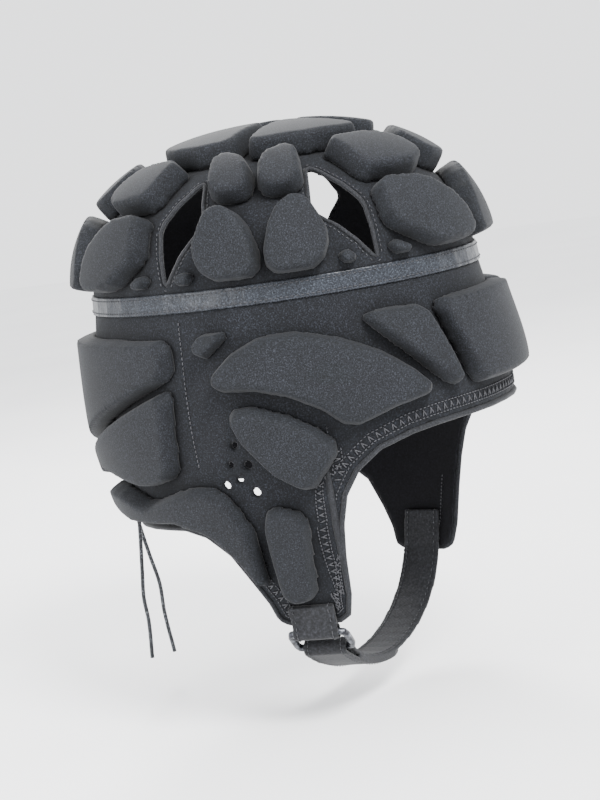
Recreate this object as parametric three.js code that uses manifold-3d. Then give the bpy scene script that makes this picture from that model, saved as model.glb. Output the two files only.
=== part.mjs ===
import * as THREE from 'three';
import * as BufferGeometryUtils from 'three/addons/utils/BufferGeometryUtils.js';
import Module from 'manifold-3d';

const wasm = await Module();
wasm.setup();

// Rugby scrum cap as worn. Millimetres, +Z up, the face looks along -Y and
// the wearer's left is +X. The origin is where the top of the head touches
// the inside of the crown.

// Driving dimensions of the shell
const headWidth = 165;
const frontDepth = 100;
const rearDepth = 100;
const shellWall = 2.5;
const crownRise = 62;
const crownFullness = 2.3;
const flapDrop = 150;

// Slit at the back and its lace
const slitWidth = 18;
const eyeletSetback = 6;
const eyeletDiameter = 4.4;
const laceDiameter = 2;
const laceSides = 8;

// Ear holes, seam tape and pads
const earHoleDiameter = 4.2;
const tapeWidth = 9;
const tapeThickness = 0.9;
const crownPadHeight = 10;
const bandPadHeight = 8.5;
const cornerPadHeight = 6.2;
const padWallSlope = 2.6;
const crownWallSlope = 1.8;
const cornerWallSlope = 1.4;
const padCorner = 3.2;

// Chin strap, ring and tab
const strapWidth = 20;
const strapThickness = 1.8;
const strapSag = 34;
const strapSewn = 18;
const strapTail = 66;
const ringWidth = 29;
const ringLength = 17;
const ringBar = 3;
const ringTilt = 31;
const tabWidth = 21;
const tabThickness = 1.2;
const tabSewn = 9;

// Clearances between pieces
const seamGap = 0.4;
const padGap = 0.45;
const layGap = 0.35;
const barGap = 0.35;
const strapSeatGap = 1.1;

// Longest edge of a facet on the outline of a pad and across its faces, and
// how far the long side of a pad bows out as a share of its length
const outlineFacet = 16;
const crownFacet = 24;
const bandFacet = 30;
const sideBow = 0.008;

const halfWidth = headWidth / 2;
const seamLevel = shellWall - crownRise;
const degree = Math.PI / 180;

// Value of one column of a table, on a smooth curve through the rows that
// never swings past them.
function smoothAt(table, key, column, value) {
  const last = table.length - 1;
  const slopes = table.slice(1).map((row, index) => (
    (row[column] - table[index][column]) / (row[key] - table[index][key])
  ));
  const tangentAt = (index) => {
    if (index === 0 || index === last) return slopes[Math.min(index, last - 1)];
    const before = slopes[index - 1];
    const after = slopes[index];
    return before * after <= 0 ? 0 : 2 * before * after / (before + after);
  };
  let row = 0;
  while (row < last - 1 && value > table[row + 1][key]) row += 1;
  const low = table[row];
  const high = table[row + 1];
  const span = high[key] - low[key];
  const t = THREE.MathUtils.clamp((value - low[key]) / span, 0, 1);
  const t2 = t * t;
  const t3 = t2 * t;
  return (2 * t3 - 3 * t2 + 1) * low[column] + (t3 - 2 * t2 + t) * span * tangentAt(row)
    + (3 * t2 - 2 * t3) * high[column] + (t3 - t2) * span * tangentAt(row + 1);
}

// Girth sections from the seam down, as shares of half width, front depth and
// rear depth, at shares of the flap drop.
const GIRTHS = [
  { drop: 0.0, side: 0.95, front: 0.9, rear: 0.965 },
  { drop: 0.12, side: 0.972, front: 0.935, rear: 0.99 },
  { drop: 0.35, side: 1.0, front: 0.995, rear: 1.0 },
  { drop: 0.6, side: 0.965, front: 1.0, rear: 0.94 },
  { drop: 0.8, side: 0.895, front: 0.965, rear: 0.86 },
  { drop: 1.0, side: 0.8, front: 0.91, rear: 0.77 },
  { drop: 1.1, side: 0.75, front: 0.88, rear: 0.72 },
];
const girthAt = (share, column) => smoothAt(GIRTHS, 'drop', column, share);

// Half axes of the crown's plan at the seam, on the front or the rear side
function crownAxes(turn) {
  const rear = Math.cos(turn * degree) < 0;
  return {
    side: halfWidth * GIRTHS[0].side,
    depth: rear ? rearDepth * GIRTHS[0].rear : frontDepth * GIRTHS[0].front,
  };
}

// Profile of the crown from the seam to the top: plan share and rise share at
// an angle, and a table of arc length so that a pattern can be laid along it.
const PROFILE_STEPS = 180;
const profilePoint = (angle) => ({
  plan: Math.max(Math.cos(angle), 0) ** (2 / crownFullness),
  rise: Math.max(Math.sin(angle), 0) ** (2 / crownFullness),
});
const profileArcs = [0];
for (let step = 1; step <= PROFILE_STEPS; step += 1) {
  const before = profilePoint((step - 1) / PROFILE_STEPS * Math.PI / 2);
  const after = profilePoint(step / PROFILE_STEPS * Math.PI / 2);
  const across = (before.plan - after.plan) * halfWidth;
  const up = (after.rise - before.rise) * crownRise;
  profileArcs.push(profileArcs[step - 1] + Math.hypot(across, up));
}
const crownArc = profileArcs[PROFILE_STEPS];

// Profile angle at an arc length from the seam
function profileAngle(arc) {
  if (arc >= crownArc) return Math.PI / 2;
  let step = 1;
  while (profileArcs[step] < arc) step += 1;
  const part = (Math.max(arc, 0) - profileArcs[step - 1]) / (profileArcs[step] - profileArcs[step - 1]);
  return (step - 1 + part) / PROFILE_STEPS * Math.PI / 2;
}

// Point on the outside of the shell. turn is in degrees from the front centre,
// positive towards the wearer's left; below is millimetres below the seam on
// the band, and a negative value is millimetres of arc up the crown.
function shellPoint(turn, below) {
  const angle = turn * degree;
  if (below <= 0) {
    const { side, depth } = crownAxes(turn);
    const { plan, rise } = profilePoint(profileAngle(-below));
    return new THREE.Vector3(
      side * plan * Math.sin(angle),
      -depth * plan * Math.cos(angle),
      seamLevel + crownRise * rise,
    );
  }
  const share = below / flapDrop;
  const rear = Math.cos(angle) < 0;
  const depth = rear ? rearDepth * girthAt(share, 'rear') : frontDepth * girthAt(share, 'front');
  return new THREE.Vector3(
    halfWidth * girthAt(share, 'side') * Math.sin(angle),
    -depth * Math.cos(angle),
    seamLevel - below,
  );
}

// Outward direction of the shell at the same place
function shellNormal(turn, below) {
  const angle = turn * degree;
  if (below <= 0) {
    const { side, depth } = crownAxes(turn);
    const { plan, rise } = profilePoint(profileAngle(-below));
    const planPart = plan ** (crownFullness - 1);
    return new THREE.Vector3(
      planPart * Math.sin(angle) / side,
      -planPart * Math.cos(angle) / depth,
      rise ** (crownFullness - 1) / crownRise,
    ).normalize();
  }
  const half = 0.5;
  const along = shellPoint(turn + half, below).sub(shellPoint(turn - half, below));
  const down = shellPoint(turn, below + half).sub(shellPoint(turn, Math.max(below - half, 0.01)));
  return down.cross(along).normalize();
}

const onShell = (turn, below, height) => (
  shellPoint(turn, below).addScaledVector(shellNormal(turn, below), height)
);

// Flat patterns, drawn in millimetres and then laid on the shell: the band
// pattern unrolls the band, a lobe pattern unrolls one gore of the crown about
// its centre line, and the disc pattern spreads the whole crown out.
const bandScale = (halfWidth + frontDepth) / 2 * degree;
const bandPlace = (x, y, height) => onShell(x / bandScale, -y, height);
const bandFlat = ({ turn, drop }) => new THREE.Vector2(turn * bandScale, -drop * flapDrop);

const lobeScale = (arc) => Math.max(profilePoint(profileAngle(arc)).plan, 0.02) * halfWidth * degree;
const lobePlace = (centre) => (x, y, height) => onShell(centre + x / lobeScale(y), -y, height);

const discPlace = (x, y, height) => (
  onShell(Math.atan2(x, -y) / degree, Math.hypot(x, y) - crownArc, height)
);
function discFlat(turn, arc) {
  const reach = crownArc - arc;
  return new THREE.Vector2(reach * Math.sin(turn * degree), -reach * Math.cos(turn * degree));
}

const mirrored = (points) => points.map((point) => new THREE.Vector2(-point.x, point.y));

// Corners moved inwards by a distance; at an acute corner the move is limited.
function insetCorners(corners, distance) {
  return corners.map((corner, index) => {
    const before = corners.at(index - 1);
    const after = corners[(index + 1) % corners.length];
    const first = corner.clone().sub(before).normalize();
    const second = after.clone().sub(corner).normalize();
    const inward = new THREE.Vector2(-first.y - second.y, first.x + second.x).normalize();
    const spread = Math.max(0.6, inward.dot(new THREE.Vector2(-first.y, first.x)));
    return corner.clone().addScaledVector(inward, distance / spread);
  });
}

// Rounded outline inside a polygon, moved in by an inset: each sharp corner
// becomes a short curve, and each long side is divided and bows out by a share
// of its length. The number of points depends on the polygon alone.
function roundedOutline(polygon, { inset = 0, radius = padCorner, steps = 1, bow = sideBow }) {
  const corners = THREE.ShapeUtils.isClockWise(polygon) ? polygon.slice().reverse() : polygon;
  const moved = insetCorners(corners, inset);
  const ends = corners.map((corner, index) => {
    const back = corners.at(index - 1).clone().sub(corner).normalize();
    const on = corners[(index + 1) % corners.length].clone().sub(corner).normalize();
    if (Math.abs(back.cross(on)) < 0.42) return [moved[index]];
    const toBack = moved.at(index - 1).clone().sub(moved[index]);
    const toOn = moved[(index + 1) % moved.length].clone().sub(moved[index]);
    const reach = Math.min(radius, toBack.length() * 0.4, toOn.length() * 0.4);
    const start = moved[index].clone().addScaledVector(toBack.normalize(), reach);
    const end = moved[index].clone().addScaledVector(toOn.normalize(), reach);
    return new THREE.QuadraticBezierCurve(start, moved[index], end).getPoints(steps);
  });
  return ends.flatMap((points, index) => {
    const from = points.at(-1);
    const to = ends[(index + 1) % ends.length][0];
    const outward = new THREE.Vector2(to.y - from.y, from.x - to.x).multiplyScalar(4 * bow);
    const parts = Math.ceil(corners[index].distanceTo(corners[(index + 1) % corners.length]) / outlineFacet);
    const between = Array.from({ length: parts - 1 }, (_, part) => {
      const share = (part + 1) / parts;
      return from.clone().lerp(to, share).addScaledVector(outward, share * (1 - share));
    });
    return [...points, ...between];
  });
}

// Halves the longest edges of a triangle list until none is longer than a
// limit; both triangles at an edge are cut together.
function splitLongEdges(points, faces, limit) {
  const key = (a, b) => (a < b ? `${a},${b}` : `${b},${a}`);
  let work = faces;
  let cut = true;
  while (cut) {
    cut = false;
    const owners = new Map();
    work.forEach((face, index) => face.forEach((corner, side) => {
      const name = key(corner, face[(side + 1) % 3]);
      owners.set(name, [...(owners.get(name) ?? []), index]);
    }));
    const touched = new Set();
    const added = [];
    work.forEach((face, index) => {
      if (touched.has(index)) return;
      const lengths = face.map((corner, side) => points[corner].distanceTo(points[face[(side + 1) % 3]]));
      const side = lengths.indexOf(Math.max(...lengths));
      if (lengths[side] <= limit) return;
      const [a, b] = [face[side], face[(side + 1) % 3]];
      const pair = owners.get(key(a, b));
      if (pair.some((owner) => touched.has(owner))) return;
      points.push(points[a].clone().lerp(points[b], 0.5));
      const middle = points.length - 1;
      pair.forEach((owner) => {
        touched.add(owner);
        const old = work[owner];
        const at = old.findIndex((corner, turn) => key(corner, old[(turn + 1) % 3]) === key(a, b));
        const [p, q, r] = [old[at], old[(at + 1) % 3], old[(at + 2) % 3]];
        added.push([p, middle, r], [middle, q, r]);
      });
      cut = true;
    });
    work = [...work.filter((_, index) => !touched.has(index)), ...added];
  }
  return work;
}

function geometryOf(points, faces) {
  const geometry = new THREE.BufferGeometry().setFromPoints(points);
  geometry.setIndex(faces.flat());
  geometry.computeVertexNormals();
  return geometry;
}

// Solid between stacked flat outlines with the same number of points, each at
// its own level, laid on a surface by place.
function stackedSolid(layers, place, limit = Infinity) {
  const count = layers[0].outline.length;
  const flat = layers.flatMap(({ outline, level }) => (
    outline.map((point) => new THREE.Vector3(point.x, point.y, level))
  ));
  const last = (layers.length - 1) * count;
  const lowCap = THREE.ShapeUtils.triangulateShape(layers[0].outline, []);
  const highCap = THREE.ShapeUtils.triangulateShape(layers.at(-1).outline, []);
  const faces = [
    ...lowCap.map(([a, b, c]) => [a, c, b]),
    ...highCap.map(([a, b, c]) => [last + a, last + b, last + c]),
  ];
  for (let layer = 0; layer + 1 < layers.length; layer += 1) {
    for (let index = 0; index < count; index += 1) {
      const [a, b] = [layer * count + index, layer * count + (index + 1) % count];
      faces.push([a, b, b + count], [a, b + count, a + count]);
    }
  }
  const split = splitLongEdges(flat, faces, limit);
  return geometryOf(flat.map((point) => place(point.x, point.y, point.z)), split);
}

// Raised foam pad: a slightly hollow underside, a wall that leans in from the
// outline, and a face that follows the shell.
const PAD_HOLLOW = { inset: 1.2, level: padGap + 0.85 };
function pad(corners, height, slope, place, facet) {
  return stackedSolid([
    { outline: roundedOutline(corners, { inset: PAD_HOLLOW.inset }), level: PAD_HOLLOW.level },
    { outline: roundedOutline(corners, {}), level: padGap },
    { outline: roundedOutline(corners, { inset: slope }), level: height },
  ], place, facet);
}

// Closed wall between an outer and an inner grid of points, rows upwards and
// columns from right to left of the wearer. Sides are walled where open.
function gridSolid(outer, inner, open = () => true) {
  const points = [];
  const faces = [];
  const face = (...corners) => {
    const apart = corners.every((corner, index) => (
      corner.distanceTo(corners[(index + 1) % corners.length]) > 1e-4
    ));
    if (!apart) return;
    faces.push(corners.map((corner) => points.push(corner) - 1));
  };
  const quad = (a, b, c, d) => {
    face(a, b, c);
    face(a, c, d);
  };
  const top = outer.length - 1;
  const right = outer[0].length - 1;
  for (let row = 0; row < top; row += 1) {
    for (let column = 0; column < right; column += 1) {
      quad(outer[row][column], outer[row][column + 1], outer[row + 1][column + 1], outer[row + 1][column]);
      quad(inner[row][column], inner[row + 1][column], inner[row + 1][column + 1], inner[row][column + 1]);
    }
    if (open(row)) {
      quad(outer[row][0], outer[row + 1][0], inner[row + 1][0], inner[row][0]);
      quad(outer[row + 1][right], outer[row][right], inner[row][right], inner[row + 1][right]);
    }
  }
  for (let column = 0; column < right; column += 1) {
    quad(outer[0][column + 1], outer[0][column], inner[0][column], inner[0][column + 1]);
    quad(outer[top][column], outer[top][column + 1], inner[top][column + 1], inner[top][column]);
  }
  const geometry = BufferGeometryUtils.mergeVertices(geometryOf(points, faces), 1e-4);
  geometry.deleteAttribute('normal');
  return BufferGeometryUtils.mergeVertices(geometry, 1e-4);
}

// Boolean cut of a closed geometry by others
function solidOf(geometry) {
  const bare = geometry.clone();
  bare.deleteAttribute('normal');
  bare.deleteAttribute('uv');
  const merged = BufferGeometryUtils.mergeVertices(bare, 1e-4);
  return new wasm.Manifold(new wasm.Mesh({
    numProp: 3,
    vertProperties: new Float32Array(merged.attributes.position.array),
    triVerts: new Uint32Array(merged.index.array),
  }));
}
function cutBy(geometry, tools) {
  const mesh = tools.reduce((solid, tool) => solid.subtract(solidOf(tool)), solidOf(geometry)).getMesh();
  const result = new THREE.BufferGeometry();
  result.setAttribute('position', new THREE.BufferAttribute(new Float32Array(mesh.vertProperties), 3));
  result.setIndex(Array.from(mesh.triVerts));
  result.computeVertexNormals();
  return result;
}

// Colours and finish of the materials
const finishes = {
  fabric: new THREE.MeshStandardMaterial({ color: 0x2b2c30, roughness: 0.92, metalness: 0 }),
  foam: new THREE.MeshStandardMaterial({ color: 0x4a4b4f, roughness: 0.85, metalness: 0 }),
  tape: new THREE.MeshStandardMaterial({ color: 0x6f747c, roughness: 0.55, metalness: 0 }),
  webbing: new THREE.MeshStandardMaterial({ color: 0x1f2024, roughness: 0.8, metalness: 0 }),
  ring: new THREE.MeshStandardMaterial({ color: 0x303236, roughness: 0.3, metalness: 0.6 }),
  lace: new THREE.MeshStandardMaterial({ color: 0x26272b, roughness: 0.5, metalness: 0 }),
};

const cap = new THREE.Group();
function add(name, geometry, finish) {
  const mesh = new THREE.Mesh(geometry, finishes[finish]);
  mesh.name = name;
  cap.add(mesh);
  return mesh;
}

// Half width of the back slit as shares of half the slit width: on the crown
// at shares of the crown arc, and on the band at shares of the flap drop.
const CROWN_SLIT = [
  { arc: 0.0, width: 0.86 },
  { arc: 0.18, width: 1.0 },
  { arc: 0.38, width: 0.92 },
  { arc: 0.56, width: 0.6 },
  { arc: 0.7, width: 0 },
];
const BAND_SLIT = [
  { drop: 0.0, width: 0.86 },
  { drop: 0.06, width: 0.64 },
  { drop: 0.118, width: 0.36 },
  { drop: 0.3, width: 0.31 },
  { drop: 0.487, width: 0.33 },
  { drop: 1.0, width: 0.33 },
];
const slitHalf = slitWidth / 2;
const rearDegree = halfWidth * degree;
const slitHalfAt = (share) => slitHalf * smoothAt(BAND_SLIT, 'drop', 'width', share);
const slitTurn = (share) => 180 - slitHalfAt(share) / rearDegree;

// Rows up the crown as shares of its arc, and columns round it
const CROWN_ROWS = [0, 0.09, 0.18, 0.28, 0.38, 0.48, 0.59, 0.7, 0.84, 1];
const CROWN_COLUMNS = 36;
const apexShare = CROWN_SLIT[CROWN_SLIT.length - 1].arc;

// Kite-shaped vents between the lobes, on the wearer's left: degrees from the
// front and shares of the crown arc.
const VENTS = [
  [
    { turn: 38.5, arc: 0.05 },
    { turn: 37.2, arc: 0.29 },
    { turn: 50.5, arc: 0.52 },
    { turn: 55.5, arc: 0.28 },
  ],
  [
    { turn: 102.5, arc: 0.05 },
    { turn: 90, arc: 0.28 },
    { turn: 95.5, arc: 0.52 },
    { turn: 106, arc: 0.3 },
  ],
];
const ventCorner = 2.5;
const cutterReach = 8;

function crownShell() {
  const reachAt = (share) => {
    if (share >= apexShare) return 180;
    const radius = profilePoint(profileAngle(share * crownArc)).plan * crownAxes(180).side;
    return 180 - Math.asin(slitHalf * smoothAt(CROWN_SLIT, 'arc', 'width', share) / radius) / degree;
  };
  const gridAt = (height) => CROWN_ROWS.map((share) => (
    Array.from({ length: CROWN_COLUMNS + 1 }, (_, column) => {
      const turn = reachAt(share) * (2 * column / CROWN_COLUMNS - 1);
      return onShell(turn, -share * crownArc, height);
    })
  ));
  const dome = gridSolid(gridAt(0), gridAt(-shellWall), (row) => CROWN_ROWS[row] < apexShare);
  const cutters = VENTS.flatMap((rows) => {
    const kite = rows.map(({ turn, arc }) => discFlat(turn, arc * crownArc));
    return [kite, mirrored(kite)].map((corners) => {
      const outline = roundedOutline(corners, { radius: ventCorner, bow: 0.001 });
      const layers = [-cutterReach, cutterReach].map((level) => ({ outline, level }));
      return stackedSolid(layers, discPlace, crownFacet);
    });
  });
  add('crown_shell', cutBy(dome, cutters), 'fabric');
}

// Lower edge of the band on the wearer's left, from the face round the cheek
// flap to the nape: degrees from the front and shares of the flap drop.
const LOWER_EDGE = [
  { turn: 0, drop: 0.44 },
  { turn: 26, drop: 0.444 },
  { turn: 40, drop: 0.458 },
  { turn: 50, drop: 0.487 },
  { turn: 57, drop: 0.54 },
  { turn: 61.5, drop: 0.61 },
  { turn: 63.8, drop: 0.7 },
  { turn: 64.9, drop: 0.8 },
  { turn: 65.5, drop: 0.92 },
  { turn: 66.8, drop: 0.983 },
  { turn: 69.4, drop: 1.0 },
  { turn: 84.6, drop: 1.0 },
  { turn: 87.3, drop: 0.983 },
  { turn: 88.5, drop: 0.93 },
  { turn: 91.8, drop: 0.86 },
  { turn: 97, drop: 0.765 },
  { turn: 104, drop: 0.705 },
  { turn: 112, drop: 0.684 },
  { turn: 130, drop: 0.692 },
  { turn: 142, drop: 0.698 },
  { turn: 153, drop: 0.682 },
  { turn: 163, drop: 0.638 },
  { turn: 171, drop: 0.575 },
  { turn: 180, drop: 0.487 },
];
const BAND_ROWS = 4;
const columnStep = 12;

// Ear holes in millimetres along and below the middle of the ear
const EAR = { turn: 88, drop: 0.513 };
const EAR_HOLES = [
  { along: 0, down: -12.5 },
  { along: 3.4, down: -4 },
  { along: -4.6, down: -3.5 },
  { along: 0.4, down: 3 },
  { along: 7, down: 5.5 },
  { along: -5.5, down: 9.5 },
];

// Rows of eyelets down the slit, as shares of the flap drop
const EYELET_ROWS = [0.125, 0.225, 0.342, 0.45];
const eyeletTurn = (share) => slitTurn(share) - eyeletSetback / rearDegree;

const circleOutline = (centre, diameter, sides) => Array.from({ length: sides }, (_, index) => {
  const angle = index / sides * 2 * Math.PI;
  return new THREE.Vector2(Math.cos(angle), Math.sin(angle)).multiplyScalar(diameter / 2).add(centre);
});

function lowerShell() {
  const halfColumns = LOWER_EDGE.slice(1).flatMap((row, index) => {
    const before = LOWER_EDGE[index];
    const parts = Math.ceil((row.turn - before.turn) / columnStep);
    return Array.from({ length: parts }, (_, part) => before.turn + (row.turn - before.turn) * (part + 1) / parts);
  });
  const columns = [...halfColumns.slice().reverse().map((turn) => -turn), 0, ...halfColumns];
  const gridAt = (height) => Array.from({ length: BAND_ROWS + 1 }, (_, row) => columns.map((nominal) => {
    const edge = smoothAt(LOWER_EDGE, 'turn', 'drop', Math.abs(nominal)) * flapDrop;
    const below = THREE.MathUtils.lerp(edge, seamGap, row / BAND_ROWS);
    const past = Math.max(Math.abs(nominal) - 90, 0) / 90;
    const turn = Math.abs(nominal) - past * (180 - slitTurn(below / flapDrop));
    return onShell(turn * Math.sign(nominal), below, height);
  }));
  const band = gridSolid(gridAt(0), gridAt(-shellWall));
  const holes = [
    ...EAR_HOLES.map(({ along, down }) => (
      circleOutline(bandFlat(EAR).add(new THREE.Vector2(along, -down)), earHoleDiameter, 6)
    )),
    ...EYELET_ROWS.map((share) => (
      circleOutline(bandFlat({ turn: eyeletTurn(share), drop: share }), eyeletDiameter, 6)
    )),
  ];
  const drills = holes.flatMap((outline) => [outline, mirrored(outline).reverse()]).map((outline) => (
    stackedSolid([{ outline, level: -cutterReach }, { outline, level: cutterReach }], bandPlace)
  ));
  add('lower_shell', cutBy(band, drills), 'fabric');
}

const TAPE_COLUMNS = 40;
function crownTape() {
  const end = slitTurn(0) - 1.2;
  const gridAt = (height) => [-0.5, 0.5].map((side) => (
    Array.from({ length: TAPE_COLUMNS + 1 }, (_, column) => (
      onShell(end * (2 * column / TAPE_COLUMNS - 1), -side * tapeWidth, height)
    ))
  ));
  add('crown_tape', gridSolid(gridAt(layGap + tapeThickness), gridAt(layGap)), 'tape');
}

// Half spread in degrees of each kind of crown lobe, at shares of the crown
// arc, and the lobes themselves: centre in degrees, and the sides of the lobe
// that have a small corner pad.
const SPREADS = [
  { arc: 0.05, front: 35.5, side: 29, rear: 31 },
  { arc: 0.28, front: 35.5, side: 16, rear: 30 },
  { arc: 0.52, front: 42, side: 21, rear: 33 },
];
const LOBES = [
  { name: 'front', kind: 'front', centre: 0, corners: [-1, 1] },
  { name: 'side_left', kind: 'side', centre: 71.5, corners: [-1, 1] },
  { name: 'side_right', kind: 'side', centre: -71.5, corners: [-1, 1] },
  { name: 'rear_left', kind: 'rear', centre: 137.5, corners: [-1] },
  { name: 'rear_right', kind: 'rear', centre: -137.5, corners: [1] },
];

// Pads of one half lobe: across as a share of the half spread there, up as a
// share of the crown arc.
const LOBE_PADS = {
  leaf: [
    { across: 0.035, up: 0.065 },
    { across: 0.035, up: 0.15 },
    { across: 0.17, up: 0.235 },
    { across: 0.44, up: 0.318 },
    { across: 0.93, up: 0.335 },
    { across: 0.98, up: 0.17 },
    { across: 0.56, up: 0.065 },
  ],
  chunk: [
    { across: 0.05, up: 0.385 },
    { across: 0.05, up: 0.5 },
    { across: 0.32, up: 0.565 },
    { across: 0.97, up: 0.575 },
    { across: 0.95, up: 0.368 },
    { across: 0.34, up: 0.352 },
  ],
  corner: [
    { across: 0.72, up: 0.065 },
    { across: 0.99, up: 0.065 },
    { across: 0.97, up: 0.13 },
  ],
};

function crownPads() {
  LOBES.forEach(({ name, kind, centre, corners }) => {
    Object.entries(LOBE_PADS).forEach(([padName, rows]) => {
      const small = padName === 'corner';
      (small ? corners : [-1, 1]).forEach((side) => {
        const outline = rows.map(({ across, up }) => {
          const spread = smoothAt(SPREADS, 'arc', kind, up);
          return new THREE.Vector2(side * across * spread * lobeScale(up * crownArc), up * crownArc);
        });
        const height = small ? cornerPadHeight : crownPadHeight;
        const slope = small ? cornerWallSlope : crownWallSlope;
        const end = side > 0 ? 'left' : 'right';
        const geometry = pad(outline, height, slope, lobePlace(centre), crownFacet);
        add(`${name}_${padName}_${end}`, geometry, 'foam');
      });
    });
  });
}

// Pads on top of the crown in plan, on the wearer's left: shares of the half
// width to the left and of the depth behind the pole.
const TOP_PADS = {
  top_front: [
    { left: 0.045, behind: -0.1 },
    { left: 0.045, behind: -0.495 },
    { left: 0.2, behind: -0.455 },
    { left: 0.36, behind: -0.35 },
    { left: 0.47, behind: -0.2 },
    { left: 0.49, behind: -0.1 },
  ],
  top_rear: [
    { left: 0.05, behind: -0.05 },
    { left: 0.5, behind: -0.05 },
    { left: 0.5, behind: 0.12 },
    { left: 0.42, behind: 0.31 },
    { left: 0.24, behind: 0.42 },
    { left: 0.12, behind: 0.34 },
  ],
};

// Disc pattern point of a place in plan
function planFlat({ left, behind }) {
  const { side, depth } = crownAxes(behind > 0 ? 180 : 0);
  const across = left * halfWidth / side;
  const back = behind * rearDepth / depth;
  const plan = Math.min(Math.hypot(across, back), 1);
  const step = Math.acos(plan ** (crownFullness / 2)) / (Math.PI / 2) * PROFILE_STEPS;
  const low = Math.min(Math.floor(step), PROFILE_STEPS - 1);
  const arc = THREE.MathUtils.lerp(profileArcs[low], profileArcs[low + 1], step - low);
  return discFlat(Math.atan2(across, -back) / degree, arc);
}

function topPads() {
  Object.entries(TOP_PADS).forEach(([name, rows]) => {
    const outline = rows.map(planFlat);
    const topPad = (corners) => pad(corners, crownPadHeight, crownWallSlope, discPlace, crownFacet);
    add(`${name}_left`, topPad(outline), 'foam');
    add(`${name}_right`, topPad(mirrored(outline)), 'foam');
  });
}

// Pads of the band on the wearer's left: degrees from the front and shares of
// the flap drop. The front trapezoid is whole, the rest have a mirrored twin.
const FRONT_TRAPEZOID = [
  { turn: -25.5, drop: 0.1 },
  { turn: 25.5, drop: 0.1 },
  { turn: 18.5, drop: 0.362 },
  { turn: -18.5, drop: 0.362 },
];
const BAND_PADS = {
  front_triangle: [
    { turn: 29, drop: 0.1 },
    { turn: 49, drop: 0.1 },
    { turn: 27, drop: 0.35 },
    { turn: 22.2, drop: 0.35 },
  ],
  side_arch: [
    { turn: 31, drop: 0.35 },
    { turn: 37, drop: 0.28 },
    { turn: 45, drop: 0.21 },
    { turn: 55, drop: 0.155 },
    { turn: 66, drop: 0.12 },
    { turn: 76, drop: 0.122 },
    { turn: 84, drop: 0.16 },
    { turn: 91, drop: 0.225 },
    { turn: 89, drop: 0.268 },
    { turn: 80, drop: 0.272 },
    { turn: 71, drop: 0.3 },
    { turn: 63, drop: 0.35 },
    { turn: 56.5, drop: 0.415 },
    { turn: 44, drop: 0.375 },
  ],
  side_fan: [
    { turn: 88, drop: 0.32 },
    { turn: 80, drop: 0.318 },
    { turn: 71.5, drop: 0.355 },
    { turn: 65, drop: 0.4 },
    { turn: 59.5, drop: 0.462 },
    { turn: 69.5, drop: 0.59 },
    { turn: 78, drop: 0.52 },
    { turn: 84.5, drop: 0.42 },
  ],
  rear_top_corner: [
    { turn: 83.5, drop: 0.098 },
    { turn: 94, drop: 0.098 },
    { turn: 93, drop: 0.18 },
  ],
  cheek_front: [
    { turn: 83.5, drop: 0.655 },
    { turn: 80.5, drop: 0.61 },
    { turn: 71.6, drop: 0.65 },
    { turn: 73, drop: 0.8 },
    { turn: 73.5, drop: 0.915 },
    { turn: 83, drop: 0.92 },
    { turn: 83.5, drop: 0.8 },
  ],
  cheek_rear: [
    { turn: 100, drop: 0.54 },
    { turn: 93.5, drop: 0.555 },
    { turn: 90, drop: 0.61 },
    { turn: 87, drop: 0.68 },
    { turn: 86.3, drop: 0.79 },
    { turn: 86.2, drop: 0.885 },
    { turn: 92.5, drop: 0.775 },
    { turn: 99, drop: 0.69 },
    { turn: 110, drop: 0.655 },
    { turn: 132, drop: 0.66 },
    { turn: 146, drop: 0.63 },
    { turn: 155, drop: 0.588 },
    { turn: 146, drop: 0.555 },
    { turn: 134, drop: 0.56 },
    { turn: 120, drop: 0.595 },
  ],
  rear_quad: [
    { turn: 102, drop: 0.105 },
    { turn: 168, drop: 0.095 },
    { turn: 167, drop: 0.445 },
    { turn: 160, drop: 0.44 },
    { turn: 102, drop: 0.215 },
  ],
  rear_wedge: [
    { turn: 103, drop: 0.245 },
    { turn: 163, drop: 0.485 },
    { turn: 161, drop: 0.54 },
    { turn: 152, drop: 0.535 },
    { turn: 144, drop: 0.505 },
    { turn: 133, drop: 0.515 },
    { turn: 118, drop: 0.545 },
    { turn: 106, drop: 0.51 },
  ],
};

function bandPads() {
  const bandPad = (corners, slope) => pad(corners, bandPadHeight, slope, bandPlace, bandFacet);
  add('front_trapezoid', bandPad(FRONT_TRAPEZOID.map(bandFlat), padWallSlope), 'foam');
  Object.entries(BAND_PADS).forEach(([name, rows]) => {
    const outline = rows.map(bandFlat);
    const slope = name === 'rear_top_corner' ? cornerWallSlope : padWallSlope;
    add(`${name}_left`, bandPad(outline, slope), 'foam');
    add(`${name}_right`, bandPad(mirrored(outline), slope), 'foam');
  });
}

// Bottom of a cheek flap: its point, and directions outward, down the flap
// and along it towards the back. side is 1 on the wearer's left, -1 right.
const flapTurn = 77;
function flapFrame(side) {
  const point = shellPoint(side * flapTurn, flapDrop);
  const outward = shellNormal(side * flapTurn, flapDrop);
  const along = new THREE.Vector3(-outward.y, outward.x, 0).normalize().multiplyScalar(side);
  const down = new THREE.Vector3().crossVectors(along, outward).multiplyScalar(side).normalize();
  if (down.z > 0) down.negate();
  return { point, outward, along, down };
}

const turnIn = (from, to, angle) => (
  from.clone().multiplyScalar(Math.cos(angle * degree)).addScaledVector(to, Math.sin(angle * degree))
);

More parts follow.
